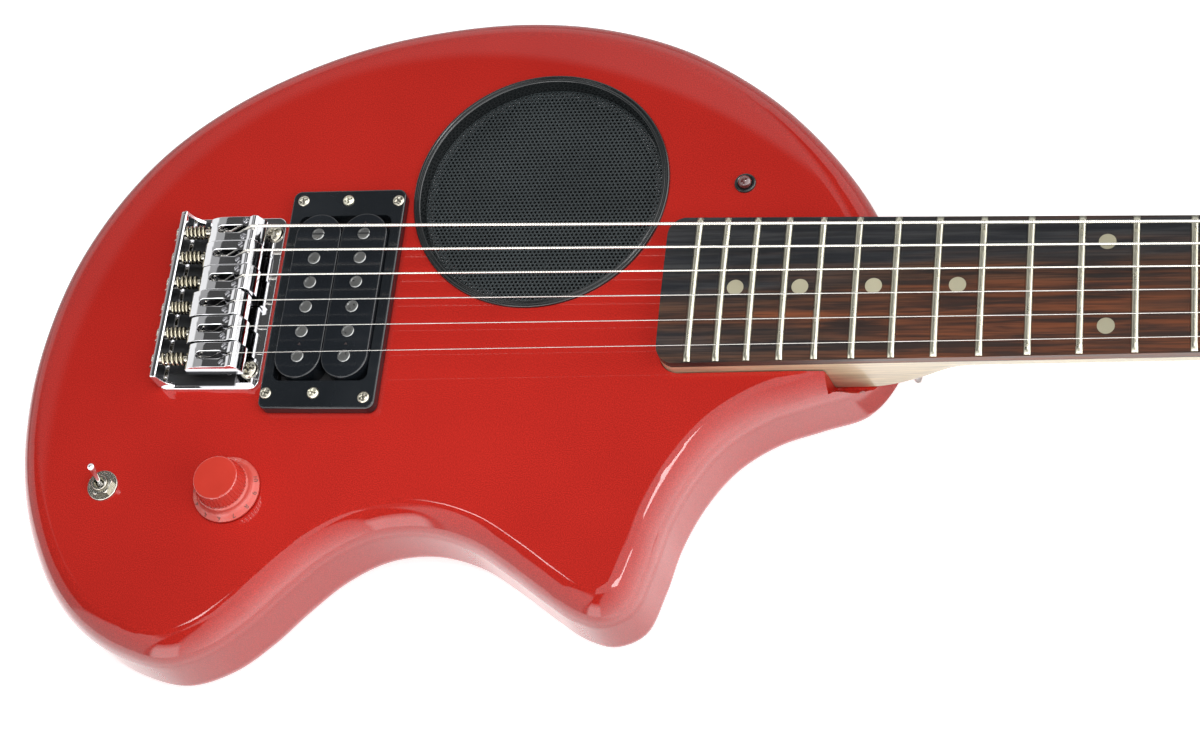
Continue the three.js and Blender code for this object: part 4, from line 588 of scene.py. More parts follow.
COIL_BLACK = plastic("coil_black", (0.009, 0.0115, 0.015), 0.16, 1000, 0.05, spread=0.03)
BEZEL_BLACK = plastic("bezel_black", (0.010, 0.012, 0.013), 0.14, 900, 0.04, spread=0.03)
COVER_BLACK = plastic("cover_black", (0.011, 0.011, 0.012), 0.45, 1800, 0.25)
MESH_BLACK = plastic("mesh_black", (0.022, 0.028, 0.030), 0.4, 900, 0.1)
CONE_BLACK = plastic("cone_paper", (0.012, 0.011, 0.011), 0.9, 600, 0.4)
BONE = plastic("bone", (0.80, 0.76, 0.64), 0.4, 300, 0.05)
PEARL = plastic("dot_shell", (0.43, 0.4, 0.28), 0.3, 200, 0.02)
INK = plastic("ink", (0.02, 0.012, 0.012), 0.6, 500, 0.05)
CAP_RED = plastic("cap_red", (0.55, 0.04, 0.024), 0.12, 700, 0.02, coat=0.6)
SKIRT_RED = plastic("skirt_red", (0.55, 0.075, 0.055), 0.26, 500, 0.01, coat=0.15)
LENS = plastic("lamp_lens", (0.1, 0.02, 0.02), 0.06, 300, 0.01, coat=1.0)
NUMBER_INK = plastic("number_ink", (0.12, 0.05, 0.04), 0.5, 500, 0.02)
GREEN = plastic("board_green", (0.012, 0.075, 0.022), 0.4, 500, 0.05)
CELL = plastic("battery_case", (0.02, 0.022, 0.025), 0.35, 300, 0.03)


# the slot name of each paint, which dress looks up where a piece names no other, though it gives
# the piece no slot
SLOTS = {
    "red_lacquer": (RED,), "maple": (MAPLE,), "rosewood": (ROSEWOOD,),
    "chrome": (CHROME, PLATE_CHROME), "nickel": (NICKEL, FRET, STEEL, SLUG),
    "string_wire": (PLAIN_WIRE, WOUND_WIRE), "bone": (BONE, PEARL), "coil_black": (COIL_BLACK,),
    "black_plastic": (RING_BLACK, BEZEL_BLACK, COVER_BLACK), "grille_black": (MESH_BLACK,),
    "red_plastic": (CAP_RED, SKIRT_RED), "lamp_red": (LENS,),
}
SLOT_OF = {paint.name: slot for slot, paints in SLOTS.items() for paint in paints}


def dress(obj, paint, body=ROOT, stands_for=None, slot=None):
    obj.data.materials.clear()
    obj.data.materials.append(paint)
    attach(obj, body)
    if stands_for:
        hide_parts(stands_for)
    if slot is None:
        slot = SLOT_OF.get(paint.name)
    return obj


# camera, world, lamps and floor
FOCAL_PIXELS, IMAGE_WIDTH = 2462.25, 1200
CAMERA_PLACE = (0.35866, -0.38581, 0.79914)
CAMERA_RIGHT = Vector((0.96721845, 0.10499896, -0.23122216))
CAMERA_UP = Vector((0.00412648, 0.90389912, 0.42772578))
CAMERA_BACK = Vector((0.25391227, -0.4146584, 0.87383463))
# a lamp's place, what it points at, its size and its power
LAMPS = {"key": ((0.07, -0.06, 0.39), (0.07, -0.06, 0.04), (0.3, 0.2), 0.84),
         "fill": ((1.3, -0.5, 0.9), (0.15, 0, 0.03), (1.2, 1.0), 6.4)}
FLOOR_REACH, FLOOR_LEVEL = (-2600, 2900, -2600, 2600), -0.2


def camera():
    eye = bpy.data.cameras.new("camera")
    eye.sensor_width = 36
    eye.lens = FOCAL_PIXELS / IMAGE_WIDTH * eye.sensor_width
    eye.clip_start, eye.clip_end = 0.01, 30
    made = linked("camera", eye)
    turn = Matrix((CAMERA_RIGHT, CAMERA_UP, CAMERA_BACK)).transposed().to_4x4()
    made.matrix_world = Matrix.Translation(CAMERA_PLACE) @ turn
    scene.camera = made


def lamp(name, place, target, size, power):
    """A soft lamp that shows neither to the camera nor in glossy surfaces."""
    data = bpy.data.lights.new(name, "AREA")
    data.shape = "RECTANGLE"
    data.size, data.size_y = size
    data.energy = power
    made = linked(name, data)
    made.location = place
    aim = Vector(place) - Vector(target)
    made.rotation_euler = aim.to_track_quat("Z", "Y").to_euler()
    made.visible_glossy = made.visible_camera = False


def surroundings():
    """A plain soft world. Only glossy rays meet the studio's walls and windows in it."""
    world = bpy.data.worlds.new("studio")
    world.use_nodes = True
    scene.world = world
    world.node_tree.nodes.clear()
    n = Nodes(world)
    both, either, span = n.both, n.either, n.span
    way = n.add("TexCoord").outputs["Generated"]
    across, away, up = n.add("SeparateXYZ", way).outputs
    spot = n.add("VectorMath", way, (1, 1, 0), operation="MULTIPLY").outputs[0]
    level = n.add("VectorMath", spot, operation="NORMALIZE").outputs[0]

    def sector(x, y, edge, inner):
        """Directions round x, y: 0 at the cosine edge, 1 at the cosine inner."""
        turned = n.add("VectorMath", level, (x, y, 0), operation="DOT_PRODUCT")
        return span(turned.outputs["Value"], 0, 1, edge, inner)

    def window(left, right, front, rear, strength, soft=0.01):
        wide = both(span(across, 0, strength, left - soft, left + soft),
                    span(across, 1, 0, right - soft, right + soft))
        deep = both(span(away, 0, 1, front - soft, front + soft),
                    span(away, 1, 0, rear - soft, rear + soft))
        return both(both(wide, deep), span(up, 0, 1, 0.85, 0.87))

    low = span(up, 1.1, 0.08, 0.5, 0.56)
    ring = n.add("VectorMath", spot, (-0.27, 0.33, 0), operation="DISTANCE").outputs["Value"]
    far_wall = both(span(ring, 0, 1, 0.189, 0.192), span(across, 0.45, 0.9, -0.45, -0.15))
    far_side = both(sector(-0.5, 0.866, 0.76, 0.86), span(away, 0, 1, 0.27, 0.3))
    right = both(sector(0.94, -0.34, 0.25, 0.4), span(up, 5.6, 2.2, 0, 0.97))
    right = both(right, span(sector(0.985, -0.17, 0.3, 0.9), 0.66, 1, 0, 1))
    left = both(sector(-0.82, -0.57, 0.93, 0.96), span(up, 1.8, 0.3, 0.86, 0.92))
    near = both(sector(-0.26, -0.966, 0.94, 0.97), span(up, 4.8, 1.8, 0.5, 0.68))
    glow = low
    for shape in (both(far_side, far_wall), right, left, both(near, span(up, 1, 0.04, 0.69, 0.72)),
                  window(-0.2, 0.45, -0.2, 0.33, 1.9), window(-0.37, -0.34, 0.2, 0.25, 14),
                  window(0.17, 0.42, 0.04, 0.18, 14)):
        glow = either(glow, shape)

    def light(strength):
        return n.add("Background", (1, 1, 1, 1), strength).outputs[0]

    ray = n.add("LightPath").outputs
    seen = either(ray["Is Camera Ray"], ray["Is Transmission Ray"])
    mixed = n.add("MixShader", ray["Is Glossy Ray"], light(span(across, 0.16, 0.6, -1, 1)),
                  light(glow)).outputs[0]
    n.add("OutputWorld", n.add("MixShader", seen, mixed, light(1.0)).outputs[0])


def floor():
    """A pale floor that keeps the shadow. It is clear from below, where the back shows."""
    x0, x1, y0, y1 = FLOOR_REACH
    made = mesh_of("floor", [(x, y, FLOOR_LEVEL) for x, y in ((x0, y0), (x1, y0), (x1, y1),
                                                              (x0, y1))], [[0, 1, 2, 3]])
    paint = material("floor_white", grey(0.86), 0.9)
    n = Nodes(paint)
    both, span = n.both, n.span
    n.look(n.ramp(n.noise(n.place(), 3, 2), (0.3, grey(0.85)), (0.7, grey(0.87))))
    # Besides its even glow to the camera, the floor glows to glossy rays as a painted reflection:
    # dim within a few centimetres of the body, a painted contact shadow, and brighter farther out
    # on the near side.
    ray = n.add("LightPath").outputs
    x, y, _ = n.axes()
    reach = ray["Ray Length"]
    near = n.math("ADD", span(reach, 0.3, 0.9, 0.004, 0.01), span(reach, 0, 1.75, 0.033, 0.056))
    near = both(near, n.either(span(x, 1, 0, 0.2325, 0.235), span(reach, 0, 1, 0.026, 0.03)))
    near = both(near, span(x, 1, 1.55, 0.15, 0.23))
    shine = both(both(span(y, 0, 1, 0.02, -0.06), ray["Is Glossy Ray"]), near)
    total = n.math("MULTIPLY_ADD", ray["Is Camera Ray"], 0.75, shine)
    # under is painted light: the floor glows to diffuse rays shorter than about a millimetre,
    # lighting the body's underside.
    under = span(reach, 0.7, 0, 0.001, 0.0012)
    total = n.math("MULTIPLY_ADD", ray["Is Diffuse Ray"], under, total)
    glow = n.add("Emission", Strength=total).outputs[0]
    top = n.add("AddShader", n.shader.outputs[0], glow).outputs[0]
    back = n.add("NewGeometry").outputs["Backfacing"]
    whole = n.add("MixShader", back, top, n.add("BsdfTransparent").outputs[0]).outputs[0]
    n.put(paint.node_tree.nodes["Material Output"].inputs["Surface"], whole)
    made.data.materials.append(paint)


scene.view_settings.view_transform = "Standard"
camera()
surroundings()
for title, values in LAMPS.items():
    lamp(title, *values)
floor()


# screws
def cross_screw(name, radius, dome, place, direction=UP, turn=0.4, paint=NICKEL):
    """A domed cross-head screw, seated at place, facing a direction."""
    profile = [(0, -0.6), (radius * 0.8, -0.6), (radius, 0), (radius * 0.98, dome * 0.25),
               (radius * 0.8, dome * 0.62), (radius * 0.5, dome * 0.88), (0, dome)]
    head = lathe(name, profile, sides=28)
    long, short = radius * 0.58, radius * 0.14
    arms = [box("arm", *about(0, a, b), dome * 0.3, dome + 1)
            for a, b in ((long, short), (short, long))]
    smooth(combine(head, arms), 40)
    moved(head, at(*place) @ facing(direction) @ Matrix.Rotation(turn, 4, "Z"))
    return dress(head, paint, slot="")


# body
def body_point(share):
    return (share[0] * BODY_LEN - BODY_TAIL, share[1] * BODY_WIDE)


def neck_plan(end_x, clear, count=10):
    q = math.pi / 2
    start = BOARD_END - clear
    a, b, r = half_neck(BOARD_END) + clear, half_neck(end_x) + clear, CORNER + clear
    return ([(end_x, -b), (end_x, b)] + arc(start + r, a - r, r, q, 2 * q, count)
            + arc(start + r, r - a, r, 2 * q, 3 * q, count))


def body_skin():
    loop = smooth_loop([body_point(share) for share in BODY_SHARES], 460)
    skin = rounded_slab("body_skin", loop, 0, BODY_T, ROUND, 12)
    ramp = [(214, 46), (217.2, 40.2), (218.3, 38.6), (219.1, 34), (219.7, 27), (220.6, 25.2),
            (223, HEEL_Z), (250, HEEL_Z), (250, 46)]
    beside = half_neck(230) + CLEAR
    step = side_prism("step", ramp, -132, -half_neck(245) + 7)
    lip = prism("lip", [(-beside - 0.6, HEEL_Z), (-beside - 14.6, HEEL_Z + 26.6),
                        (-140, HEEL_Z + 26.6), (-140, HEEL_Z)], -252, -212)
    moved(lip, Matrix(((0, 0, -1, 0), (1, 0, 0, 0), (0, 1, 0, 0), (0, 0, 0, 1))))
    combine(step, [lip])
    cutters = [
        prism("c", neck_plan(250, CLEAR), HEEL_Z, 60),
        step,
        lathe("c", [(0, 50), (47.6, 50), (47.6, 32), (44.6, 32), (44.6, 5), (0, 5)], SPEAKER, 96),
        box("c", *about(PICKUP_X, 18.4, 34.1), 16, 50),
        prism("c", rounded(*grown(BACK_COVER, CLEAR)), -5, COVER_TOP + CLEAR),
        prism("c", rounded(-60, 24, -92, -38, 9), -5, 34),
        prism("c", rounded(*grown(BATTERY_COVER, CLEAR)), -5, COVER_TOP + CLEAR),
        box("c", 80.1, 131.9, -51.9, -24.1, -5, 20.7),
        prism("c", rounded(*grown(NECK_PLATE, CLEAR)), -5, COVER_TOP),
        *(bar("c", radius, (*place, 20), (*place, 45))
          for radius, place in ((4.9, KNOB), (3.3, SWITCH), (3.2, LAMP))),
        bar("c", 11.3, (-90, *JACK_PLACE), (-83.4, *JACK_PLACE), 64),
        bar("c", 5.9, (-90, *JACK_PLACE), (-57, *JACK_PLACE)),
    ]
    combine(skin, cutters)
    dress(smooth(skin, 32), RED, stands_for="body")


body_skin()


# neck and fretboard
def eased(share):
    return share * share * (3 - 2 * share)


def neck_ring(x, top, depth, half, power, count=40):
    ring = []
    for k in range(count + 1):
        angle = math.pi * k / count
        c, s = math.cos(angle), math.sin(angle)
        side = math.copysign(abs(c) ** (2 / power), c) if abs(c) > 1e-9 else 0
        down = 0 if k in (0, count) else abs(s) ** (2 / power)
        ring.append((x, half * side, top - depth * down))
    return ring


def neck_skin():
    rings = [neck_ring(BOARD_END, NECK_TOP, NECK_DEEP, half_neck(BOARD_END), 60)]
    for k in range(25):
        share = k / 24
        settled = eased(min(1, share / 0.6))
        x = 232 + share * 43
        power = 2.2 + 57.8 * (1 - share) ** 4
        depth = NECK_DEEP + settled * (NECK_THIN - NECK_DEEP)
        rings.append(neck_ring(x, NECK_TOP, depth, half_neck(x), power))
    for k in range(21):
        share = k / 20
        x = SCALE - 22 + share * 39
        past = max(0, (x - NUT_END) / (SCALE + 17 - NUT_END))
        top = NECK_TOP - 5.1 * eased(past)
        start = NECK_TOP - NECK_AT_NUT
        bottom = start + (HEAD_BOTTOM - start) * eased(share)
        rings.append(neck_ring(x, top, top - bottom, half_neck(SCALE), 2.2 + 6.6 * share ** 2))
    skin = loft("neck_skin", rings)
    combine(skin, [prism("plan", neck_plan(SCALE + HEAD_LEN, 0), 0, 60)], "INTERSECT")
    loop = smooth_loop([(SCALE + a * HEAD_LEN, b * HEAD_WIDE) for a, b in HEAD_SHARES], 260)
    head = rounded_slab("head", loop, HEAD_BOTTOM, HEAD_TOP, 1.2, 3)
    combine(skin, [head], "UNION")
    cutters = [bar("c", 3.3, (*place, 10), (*place, 50)) for place in TUNERS]
    cutters.append(prism("c", rounded(NUT_END, NUT_END + 20, -4.5, 4.5, 4.5, 6), 32.9, 60))
    cutters.append(bar("c", 2.8, (181, 0, 37.1), (SCALE + 8, 0, 37.1)))
    combine(skin, cutters)
    dress(smooth(skin, 30), MAPLE, stands_for="neck")


def fretboard_skin():
    rings = []
    for k in range(2):
        x = BOARD_END + (SCALE - BOARD_END) * k
        half = half_neck(x)
        top = [(x, half * (1 - j / 20), BOARD_TOP - arch(half * (1 - j / 20)))
               for j in range(41)]
        rings.append(top + [(x, -half, NECK_TOP), (x, half, NECK_TOP)])
    board = loft("fretboard_skin", rings)
    combine(board, [prism("plan", neck_plan(SCALE, 0, 16), 0, 60)], "INTERSECT")
    soften(board, 0.35, 2, 40)
    dress(smooth(board, 30), ROSEWOOD, stands_for="fretboard")

    wires = []
    section = [(-1.25, -0.5), (-1.25, 0.02), (-1.02, 0.5), (-0.62, 0.86), (0, 1.0),
               (0.62, 0.86), (1.02, 0.5), (1.25, 0.02), (1.25, -0.5)]
    for n in range(1, 23):
        x, half = fret_x(n), half_neck(fret_x(n)) - 0.35
        rings = []
        for k in range(31):
            y = half * (1 - 2 * k / 30)
            end = min(k, 30 - k)
            low = (0.35, 0.8, 1.0)[min(end, 2)]
            rings.append([(x + dx, y, BOARD_TOP - arch(y) + (dz if dz < 0.1 else dz * low))
                          for dx, dz in section])
        wires.append(loft("fret", rings))
    dress(smooth(merged("frets", wires), 50), FRET)

    dots = []
    for n in DOT_FRETS:
        for y in (15.9, -15.9) if n == 12 else (0,):
            dot = lathe("dot", [(0, -0.8), (2.95, -0.8), (2.95, 0), (2.88, 0.04), (0, 0.04)],
                        sides=40)
            lean = Matrix.Rotation(-math.atan(y / 400), 4, "X")
            dots.append(moved(dot, at(before_fret(n) - 0.5, y, BOARD_TOP - arch(y)) @ lean))
    dress(smooth(merged("inlay_dots", dots), 50), PEARL)

    marks = []
    for n in DOT_FRETS:
        for x in (before_fret(n) + shift for shift in ((-3, 3) if n == 12 else (0,))):
            marks.append(bar("mark", 0.9, (x, half_neck(x) - 0.5, 46.0),
                             (x, half_neck(x) + 0.04, 46.0), 20))
    dress(smooth(merged("side_marks", marks), 50), BONE)


neck_skin()
fretboard_skin()


# strings
STRING_R = [across / 2 for across in STRING_D]
Z_NUT = [FRET_TOP - arch(y) + 0.5 + r for y, r in zip(NUT_Y, STRING_R)]
Z_BRIDGE = [FRET_TOP - arch(y) + 4.1 - r for y, r in zip(BRIDGE_Y, STRING_R)]
TREE_X, TREE_Z = NUT_END + 88, NECK_TOP + 1 + 4.4 - 7.2


def string_points(i):
    """From the bridge's wall over saddle and nut, under the string tree, to the post."""
    y, r = BRIDGE_Y[i], STRING_R[i]
    start, post = Vector((NUT_END, NUT_Y[i])), Vector(TUNERS[i])
    to = post - start
    wind = POST_WAIST + 0.3 + r
    heading = math.atan2(to.y, to.x) - math.asin(wind / to.length)
    touch = post + Vector((math.sin(heading), -math.cos(heading))) * wind
    points = [(WALL_BACK - 1.4, y, STRING_HOLE_Z), (SADDLE_REAR[i] + 6.8, y, STRING_HOLE_Z),
              (CREST[i] - 0.7, y, Z_BRIDGE[i] - 0.55), (CREST[i], y, Z_BRIDGE[i]),
              (SCALE, NUT_Y[i], Z_NUT[i]), (*start, Z_NUT[i])]
    if i >= 4:
        passed = start.lerp(touch, (TREE_X - start.x) / (touch.x - start.x))
        points.append((TREE_X, passed.y, TREE_Z))
    steps, pitch = 36, 2 * r + 0.55
    top = POST_TOP - 1.4 - 0.3 - r
    first = heading - math.pi / 2
    turns = arc(*TUNERS[i], wind, first, first + 4 * math.pi, 2 * steps)
    return points + [(x, y, top - pitch * k / steps) for k, (x, y) in enumerate(turns)]


def strings():
    for i in range(6):
        name = f"string_{i + 1}"
        wire = tube(f"string_wire_{i + 1}", string_points(i), STRING_R[i], 14)
        dress(smooth(wire, 50), WOUND_WIRE if i < 3 else PLAIN_WIRE, stands_for=name)
        end = lathe(f"ball_end_{i + 1}", [(0.6, -1.5), (1.7, -1.5), (1.7, -1.1), (1.35, -0.5),
                                          (1.35, 0.5), (1.7, 1.1), (1.7, 1.5), (0.6, 1.5)],
                    sides=24)
        moved(end, at(WALL_BACK - 2, BRIDGE_Y[i], STRING_HOLE_Z) @ facing((0, 1, 0)))
        dress(smooth(end, 40), NICKEL)


strings()


# bridge
def bridge():
    plate = prism("bridge_skin", rounded(WALL_BACK, 10.5, -35.4, 35.4, 3.5), 40, 41.3)
    soften(plate, 0.3, 3, 40)
    wall = box("wall", WALL_BACK, WALL_FRONT, -34.5, 34.5, 40.5, 50)
    soften(wall, 0.8, 3, 40)
    combine(plate, [wall], "UNION")
    cheek = [(-27.75, 41), (-22.2, 41), (-22.4, 42), (-23.6, 43), (-24.8, 44.6),
             (-25.8, 47), (-26.6, 50), (-27.75, 50)]
    for side in (-1, 1):
        a, b = sorted((side * 34.5, side * 33.0))
        part = soften(side_prism("cheek", cheek, a, b), 0.3, 2, 40)
        combine(plate, [part], "UNION")
    combine(plate, [bar("c", 1.0, (-33, y, STRING_HOLE_Z), (-22, y, STRING_HOLE_Z), 20)
                    for y in BRIDGE_Y])
    dress(smooth(plate, 30), PLATE_CHROME, stands_for="bridge_plate")
    for k, (x, y) in enumerate(((6.4, 28.5), (5.9, -27.7))):
        cross_screw(f"bridge_screw_{k + 1}", 3.6, 1.9, (x, y, 41.4), turn=0.5 + k, paint=SCREW)
    for i, y in enumerate(BRIDGE_Y):
        shank = bar(f"intonation_screw_{i + 1}", 1.3, (WALL_BACK - 0.3, y, SADDLE_SCREW_Z),
                    (SADDLE_REAR[i] + 3.6, y, SADDLE_SCREW_Z), 20)
        dress(smooth(shank, 40), NICKEL)
        cross_screw(f"intonation_head_{i + 1}", 2.1, 1.0, (WALL_BACK - 0.1, y, SADDLE_SCREW_Z),
                    BACKWARD, 0.3 * i)


def saddle(i):
    y, rear, crest = BRIDGE_Y[i], SADDLE_REAR[i], CREST[i]
    top = Z_BRIDGE[i] - STRING_R[i] - 0.2
    nose = rear + 21.8
    profile = [(rear + 0.3, 45), (nose - 0.3, 45), (nose, 45.4), (nose, top - 4.4),
               (nose - 1, top - 2.4), (crest + 1.35, top - 0.55), (crest + 0.55, top - 0.12),
               (crest, top), (crest - 0.75, top - 0.1), (crest - 1.35, top - 0.5),
               (crest - 2.1, top - 0.9), (rear + 8, top - 0.9), (rear + 5.2, top - 1.05),
               (rear + 3.0, top - 1.5), (rear + 1.2, top - 2.3), (rear + 0.2, top - 3.3),
               (rear, top - 3.7), (rear, 45.4)]
    made = side_prism(f"saddle_block_{i + 1}", profile, y - 5.05, y + 5.05)
    soften(made, 0.22, 2, 35)
    flat, rings = top - 0.9, []
    for level, grow in ((40, 0), (flat - 0.6, 0), (flat - 0.33, 0.07), (flat - 0.13, 0.22),
                        (flat, 0.5), (60, 0.5)):
        half = 1.45 + grow
        outline = rounded(rear + 4.3 - grow, rear + 14.6 + grow, y - half, y + half, half, 6)
        rings.append([(a, b, level) for a, b in outline])
    slot = loft("slot", rings)
    rise = (Z_BRIDGE[i] - STRING_HOLE_Z) / (crest - rear - 6.8)
    gx = rear + 13.4
    gz = STRING_HOLE_Z + rise * (gx - rear - 6.8) - (STRING_R[i] + 0.3) * (1 + rise / 2)
    wedge = [(gx, y - 1.55), (crest - 1.9, y - 0.75), (crest + 0.1, y - 0.7),
             (crest + 0.1, y + 0.7), (crest - 1.9, y + 0.75), (gx, y + 1.55)]
    groove = prism("groove", wedge, 40, 60)
    floor = side_prism("floor", [(gx - 3, gz - 3 * rise), (crest + 0.1, top), (crest + 0.1, 65),
                                 (gx - 3, 65)], y - 3, y + 3)
    combine(groove, [floor], "INTERSECT")
    bore = bar("c", 1.6, (rear - 3, y, SADDLE_SCREW_Z), (rear + 7, y, SADDLE_SCREW_Z), 20)
    combine(made, [slot, groove, bore])
    grubs = [(rear + 15.2, y + side * 3.3) for side in (-1, 1)]
    combine(made, [bar("c", 1.25, (*grub, 48), (*grub, 60), 20) for grub in grubs])
    smooth(soften(made, 0.32, 3, 50), 32)
    body = f"saddle_slide_{i + 1}"
    dress(made, CHROME, body, f"saddle_{i + 1}")
    for k, grub in enumerate(grubs):
        screw = lathe(f"saddle_grub_{i + 1}_{k + 1}",
                      [(0, 42.3), (0.7, 42.3), (1.2, 43), (1.2, top - 3.1), (0.95, top - 2.8),
                       (0.62, top - 2.8), (0.62, top - 3.8), (0, top - 3.8)], grub, 20)
        dress(smooth(screw, 40), STEEL, body)


def spring(i):
    y, start, end = BRIDGE_Y[i], WALL_FRONT + 0.75, SADDLE_REAR[i] - 0.75
    turns, steps = 5, 100
    coil = arc(y, SADDLE_SCREW_Z, 2.15, 0, 2 * math.pi * turns, steps)
    points = [(start + (end - start) * k / steps, *side) for k, side in enumerate(coil)]
    coil = smooth(tube(f"spring_coil_{i + 1}", points, 0.45, 10), 60)
    coil.data.materials.append(SPRING)
    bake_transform(coil)
    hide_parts(f"saddle_spring_{i + 1}")


bridge()
for index in range(6):
    saddle(index)
    spring(index)


# pickup
def pickup():
    ring = prism("ring_skin", rounded(*about(PICKUP_X, 22.25, 44.75), 3.2), 40, RING_TOP)
    soften(ring, 0.8, 4, 40)
    combine(ring, [prism("c", rounded(*about(PICKUP_X, 18.1, 33.8), 3), 30, 60)])
    dress(smooth(ring, 30), RING_BLACK, stands_for="pickup_ring")
    ring_seat = RING_TOP + 0.05
    for k, (x, y) in enumerate(((17.4, 40.4), (55.0, 39.7), (15.6, -38.7), (53.3, -40.4))):
        cross_screw(f"ring_screw_{k + 1}", 2.3, 1, (x, y, ring_seat), turn=0.3 + k / 2, paint=SCREW)
    for k, (x, y) in enumerate(((35.3, 40.1), (33.9, -38.7))):
        cross_screw(f"height_screw_{k + 1}", 2.3, 1.5, (x, y, ring_seat), turn=0.2 + k, paint=FRET)
    for side, node in ((-1, "bridge_coil"), (1, "neck_coil")):
        x = PICKUP_X + side * 8.95
        coil = prism(f"{node}_skin", rounded(*about(x, 8.85, 33.5), 8.85, 14), 35, 47)
        soften(coil, 0.55, 3, 40)
        dress(smooth(coil, 30), COIL_BLACK, "pickup", node)
        slugs, notches = [], []
        for k in range(6):
            y = (2.5 - k) * 10
            slugs.append(lathe("slug", [(0, 46), (2.4, 46), (2.4, 47.1), (2.1, 47.4), (0, 47.4)],
                               (x, y), 36))
            notch = lathe("c", [(0, 47.3), (1.6, 47.3), (1.85, 47.5), (0, 47.5)], (x, y), 36)
            if k == 0:
                slit = box("slit", x - 2.6, x + 2.6, y - 0.22, y + 0.22, 46.9, 47.45)
                combine(notch, [slit], "UNION")
            notches.append(notch)
        poles = merged(f"{node}_slugs", [combine(slug, [notch])
                                         for slug, notch in zip(slugs, notches)])
        dress(smooth(poles, 25), SLUG, "pickup")
        marks = [prism("mark", [(x - 0.7, y - 0.5), (x + 0.7, y - 0.5), (x, y + 0.6)], 46.9, 47.03)
                 for y in (29.6, -20.0)]
        dress(merged(f"{node}_marks", marks), INK, "pickup")
    tape = prism("coil_tape", rounded(*about(PICKUP_X, 17.6, 33.3), 2), 30, 38.5)
    dress(smooth(soften(tape, 0.3), 30), COVER_BLACK, "pickup", slot="coil_black")
    lining = box("well_lining", *about(PICKUP_X, 18.35, 34.05), 30, 40)
    combine(lining, [box("c", *about(PICKUP_X, 18.05, 33.75), 20, 50)])
    dress(smooth(lining, 30), COVER_BLACK)


pickup()


# speaker
def speaker():
    bezel = lathe("bezel_skin", [
        (48.6, 40), (48.6, 40.7), (48.4, 41.05), (48.0, 41.25), (47.5, 41.1), (47.2, 40.85),
        (46.9, 41.1), (46.5, 41.25), (46.1, 41.05), (45.9, 40.6), (45.2, 35.4), (46.2, 35.4),
        (47, 38.8), (47, 40)], SPEAKER, 160)
    dress(smooth(bezel, 30), BEZEL_BLACK, stands_for="speaker_bezel")

    pitch, reach = 1.585, 45.9
    high, low, hole = 35.5, 34.9, 0.56
    verts, faces, index = [], [], {}

    def corner(x, y, z):
        key = (round(x, 3), round(y, 3), z)
        if key not in index:
            index[key] = len(verts)
            verts.append((SPEAKER[0] + x, SPEAKER[1] + y, z))
        return index[key]

    rows = int(reach / (pitch * 0.866)) + 1
    size = pitch / math.sqrt(3)
    for row in range(-rows, rows + 1):
        for column in range(-rows - 2, rows + 3):
            x = (column + (0.5 if row % 2 else 0)) * pitch
            y = row * pitch * 0.866
            if math.hypot(x, y) > reach - 0.8:
                continue
            rim, lip = (circle(x, y, radius, 6, math.pi / 6) for radius in (size, hole))
            for k in range(6):
                m = (k + 1) % 6
                top = (rim[k], high), (rim[m], high), (lip[m], high), (lip[k], high)
                under = (rim[m], low), (rim[k], low), (lip[k], low), (lip[m], low)
                inner = (lip[k], high), (lip[m], high), (lip[m], low), (lip[k], low)
                faces += [[corner(*place, z) for place, z in face]
                          for face in (top, under, inner)]
    net = mesh_of("grille_mesh", verts, faces, clean=False)
    edge = lathe("edge", [(45.0, 34.7), (46.4, 34.7), (46.4, 35.35), (45.0, 35.35)], SPEAKER, 120)
    grille = merged("grille_skin", [net, edge])
    dress(grille, MESH_BLACK, stands_for="speaker_grille")


speaker()


# volume knob
def knob():
    skirt = lathe("knob_skirt", [
        (8.4, 44.6), (9.0, 40.6), (12.45, 40.6), (12.6, 40.75), (12.6, 41.35), (12.45, 41.55),
        (11.3, 42.15), (10.4, 43.2), (9.9, 44.6), (9.6, 46.15), (8.6, 46.3), (3.3, 46.3),
        (3.3, 44.6)], KNOB, 96)
    dress(smooth(skirt, 35), SKIRT_RED, "volume", "volume_knob")
    cap = lathe("knob_cap", [(0, 49.9), (3.3, 49.9), (3.3, 46.3), (9.5, 46.3), (9.35, 47.5),
                             (8.35, 52.1), (8.1, 52.45), (7.75, 52.6), (0, 52.6)], KNOB, 96)
    flutes = [bar("c", 0.42, (*foot, 46.2), (*head, 53), 8)
              for foot, head in zip(circle(*KNOB, 9.65, 40), circle(*KNOB, 8.5, 40))]
    combine(cap, [merged("c", flutes)])
    dress(smooth(cap, 30), CAP_RED, "volume")
    for number in range(11):
        angle = math.radians(FIRST_NUMBER + number * NUMBER_STEP)
        text = bpy.data.curves.new(f"number_{number}", "FONT")
        text.body = str(number)
        text.size = 2.7 * MM
        text.extrude = 0.03 * MM
        text.align_x, text.align_y = "CENTER", "CENTER"
        glyph = linked(f"number_{number}", text)
        graph = bpy.context.evaluated_depsgraph_get()
        mesh = bpy.data.meshes.new_from_object(glyph.evaluated_get(graph))
        bpy.data.objects.remove(glyph)
        made = linked(f"knob_number_{number}", mesh)
        tilt = Matrix.Rotation(math.radians(-33), 4, "X")
        spin = Matrix.Rotation(angle - math.pi / 2, 4, "Z")
        lift = at(0, 11.35, 42.25)
        moved(made, at(*KNOB, 0) @ spin @ lift @ tilt)
        dress(made, NUMBER_INK, "volume")


knob()


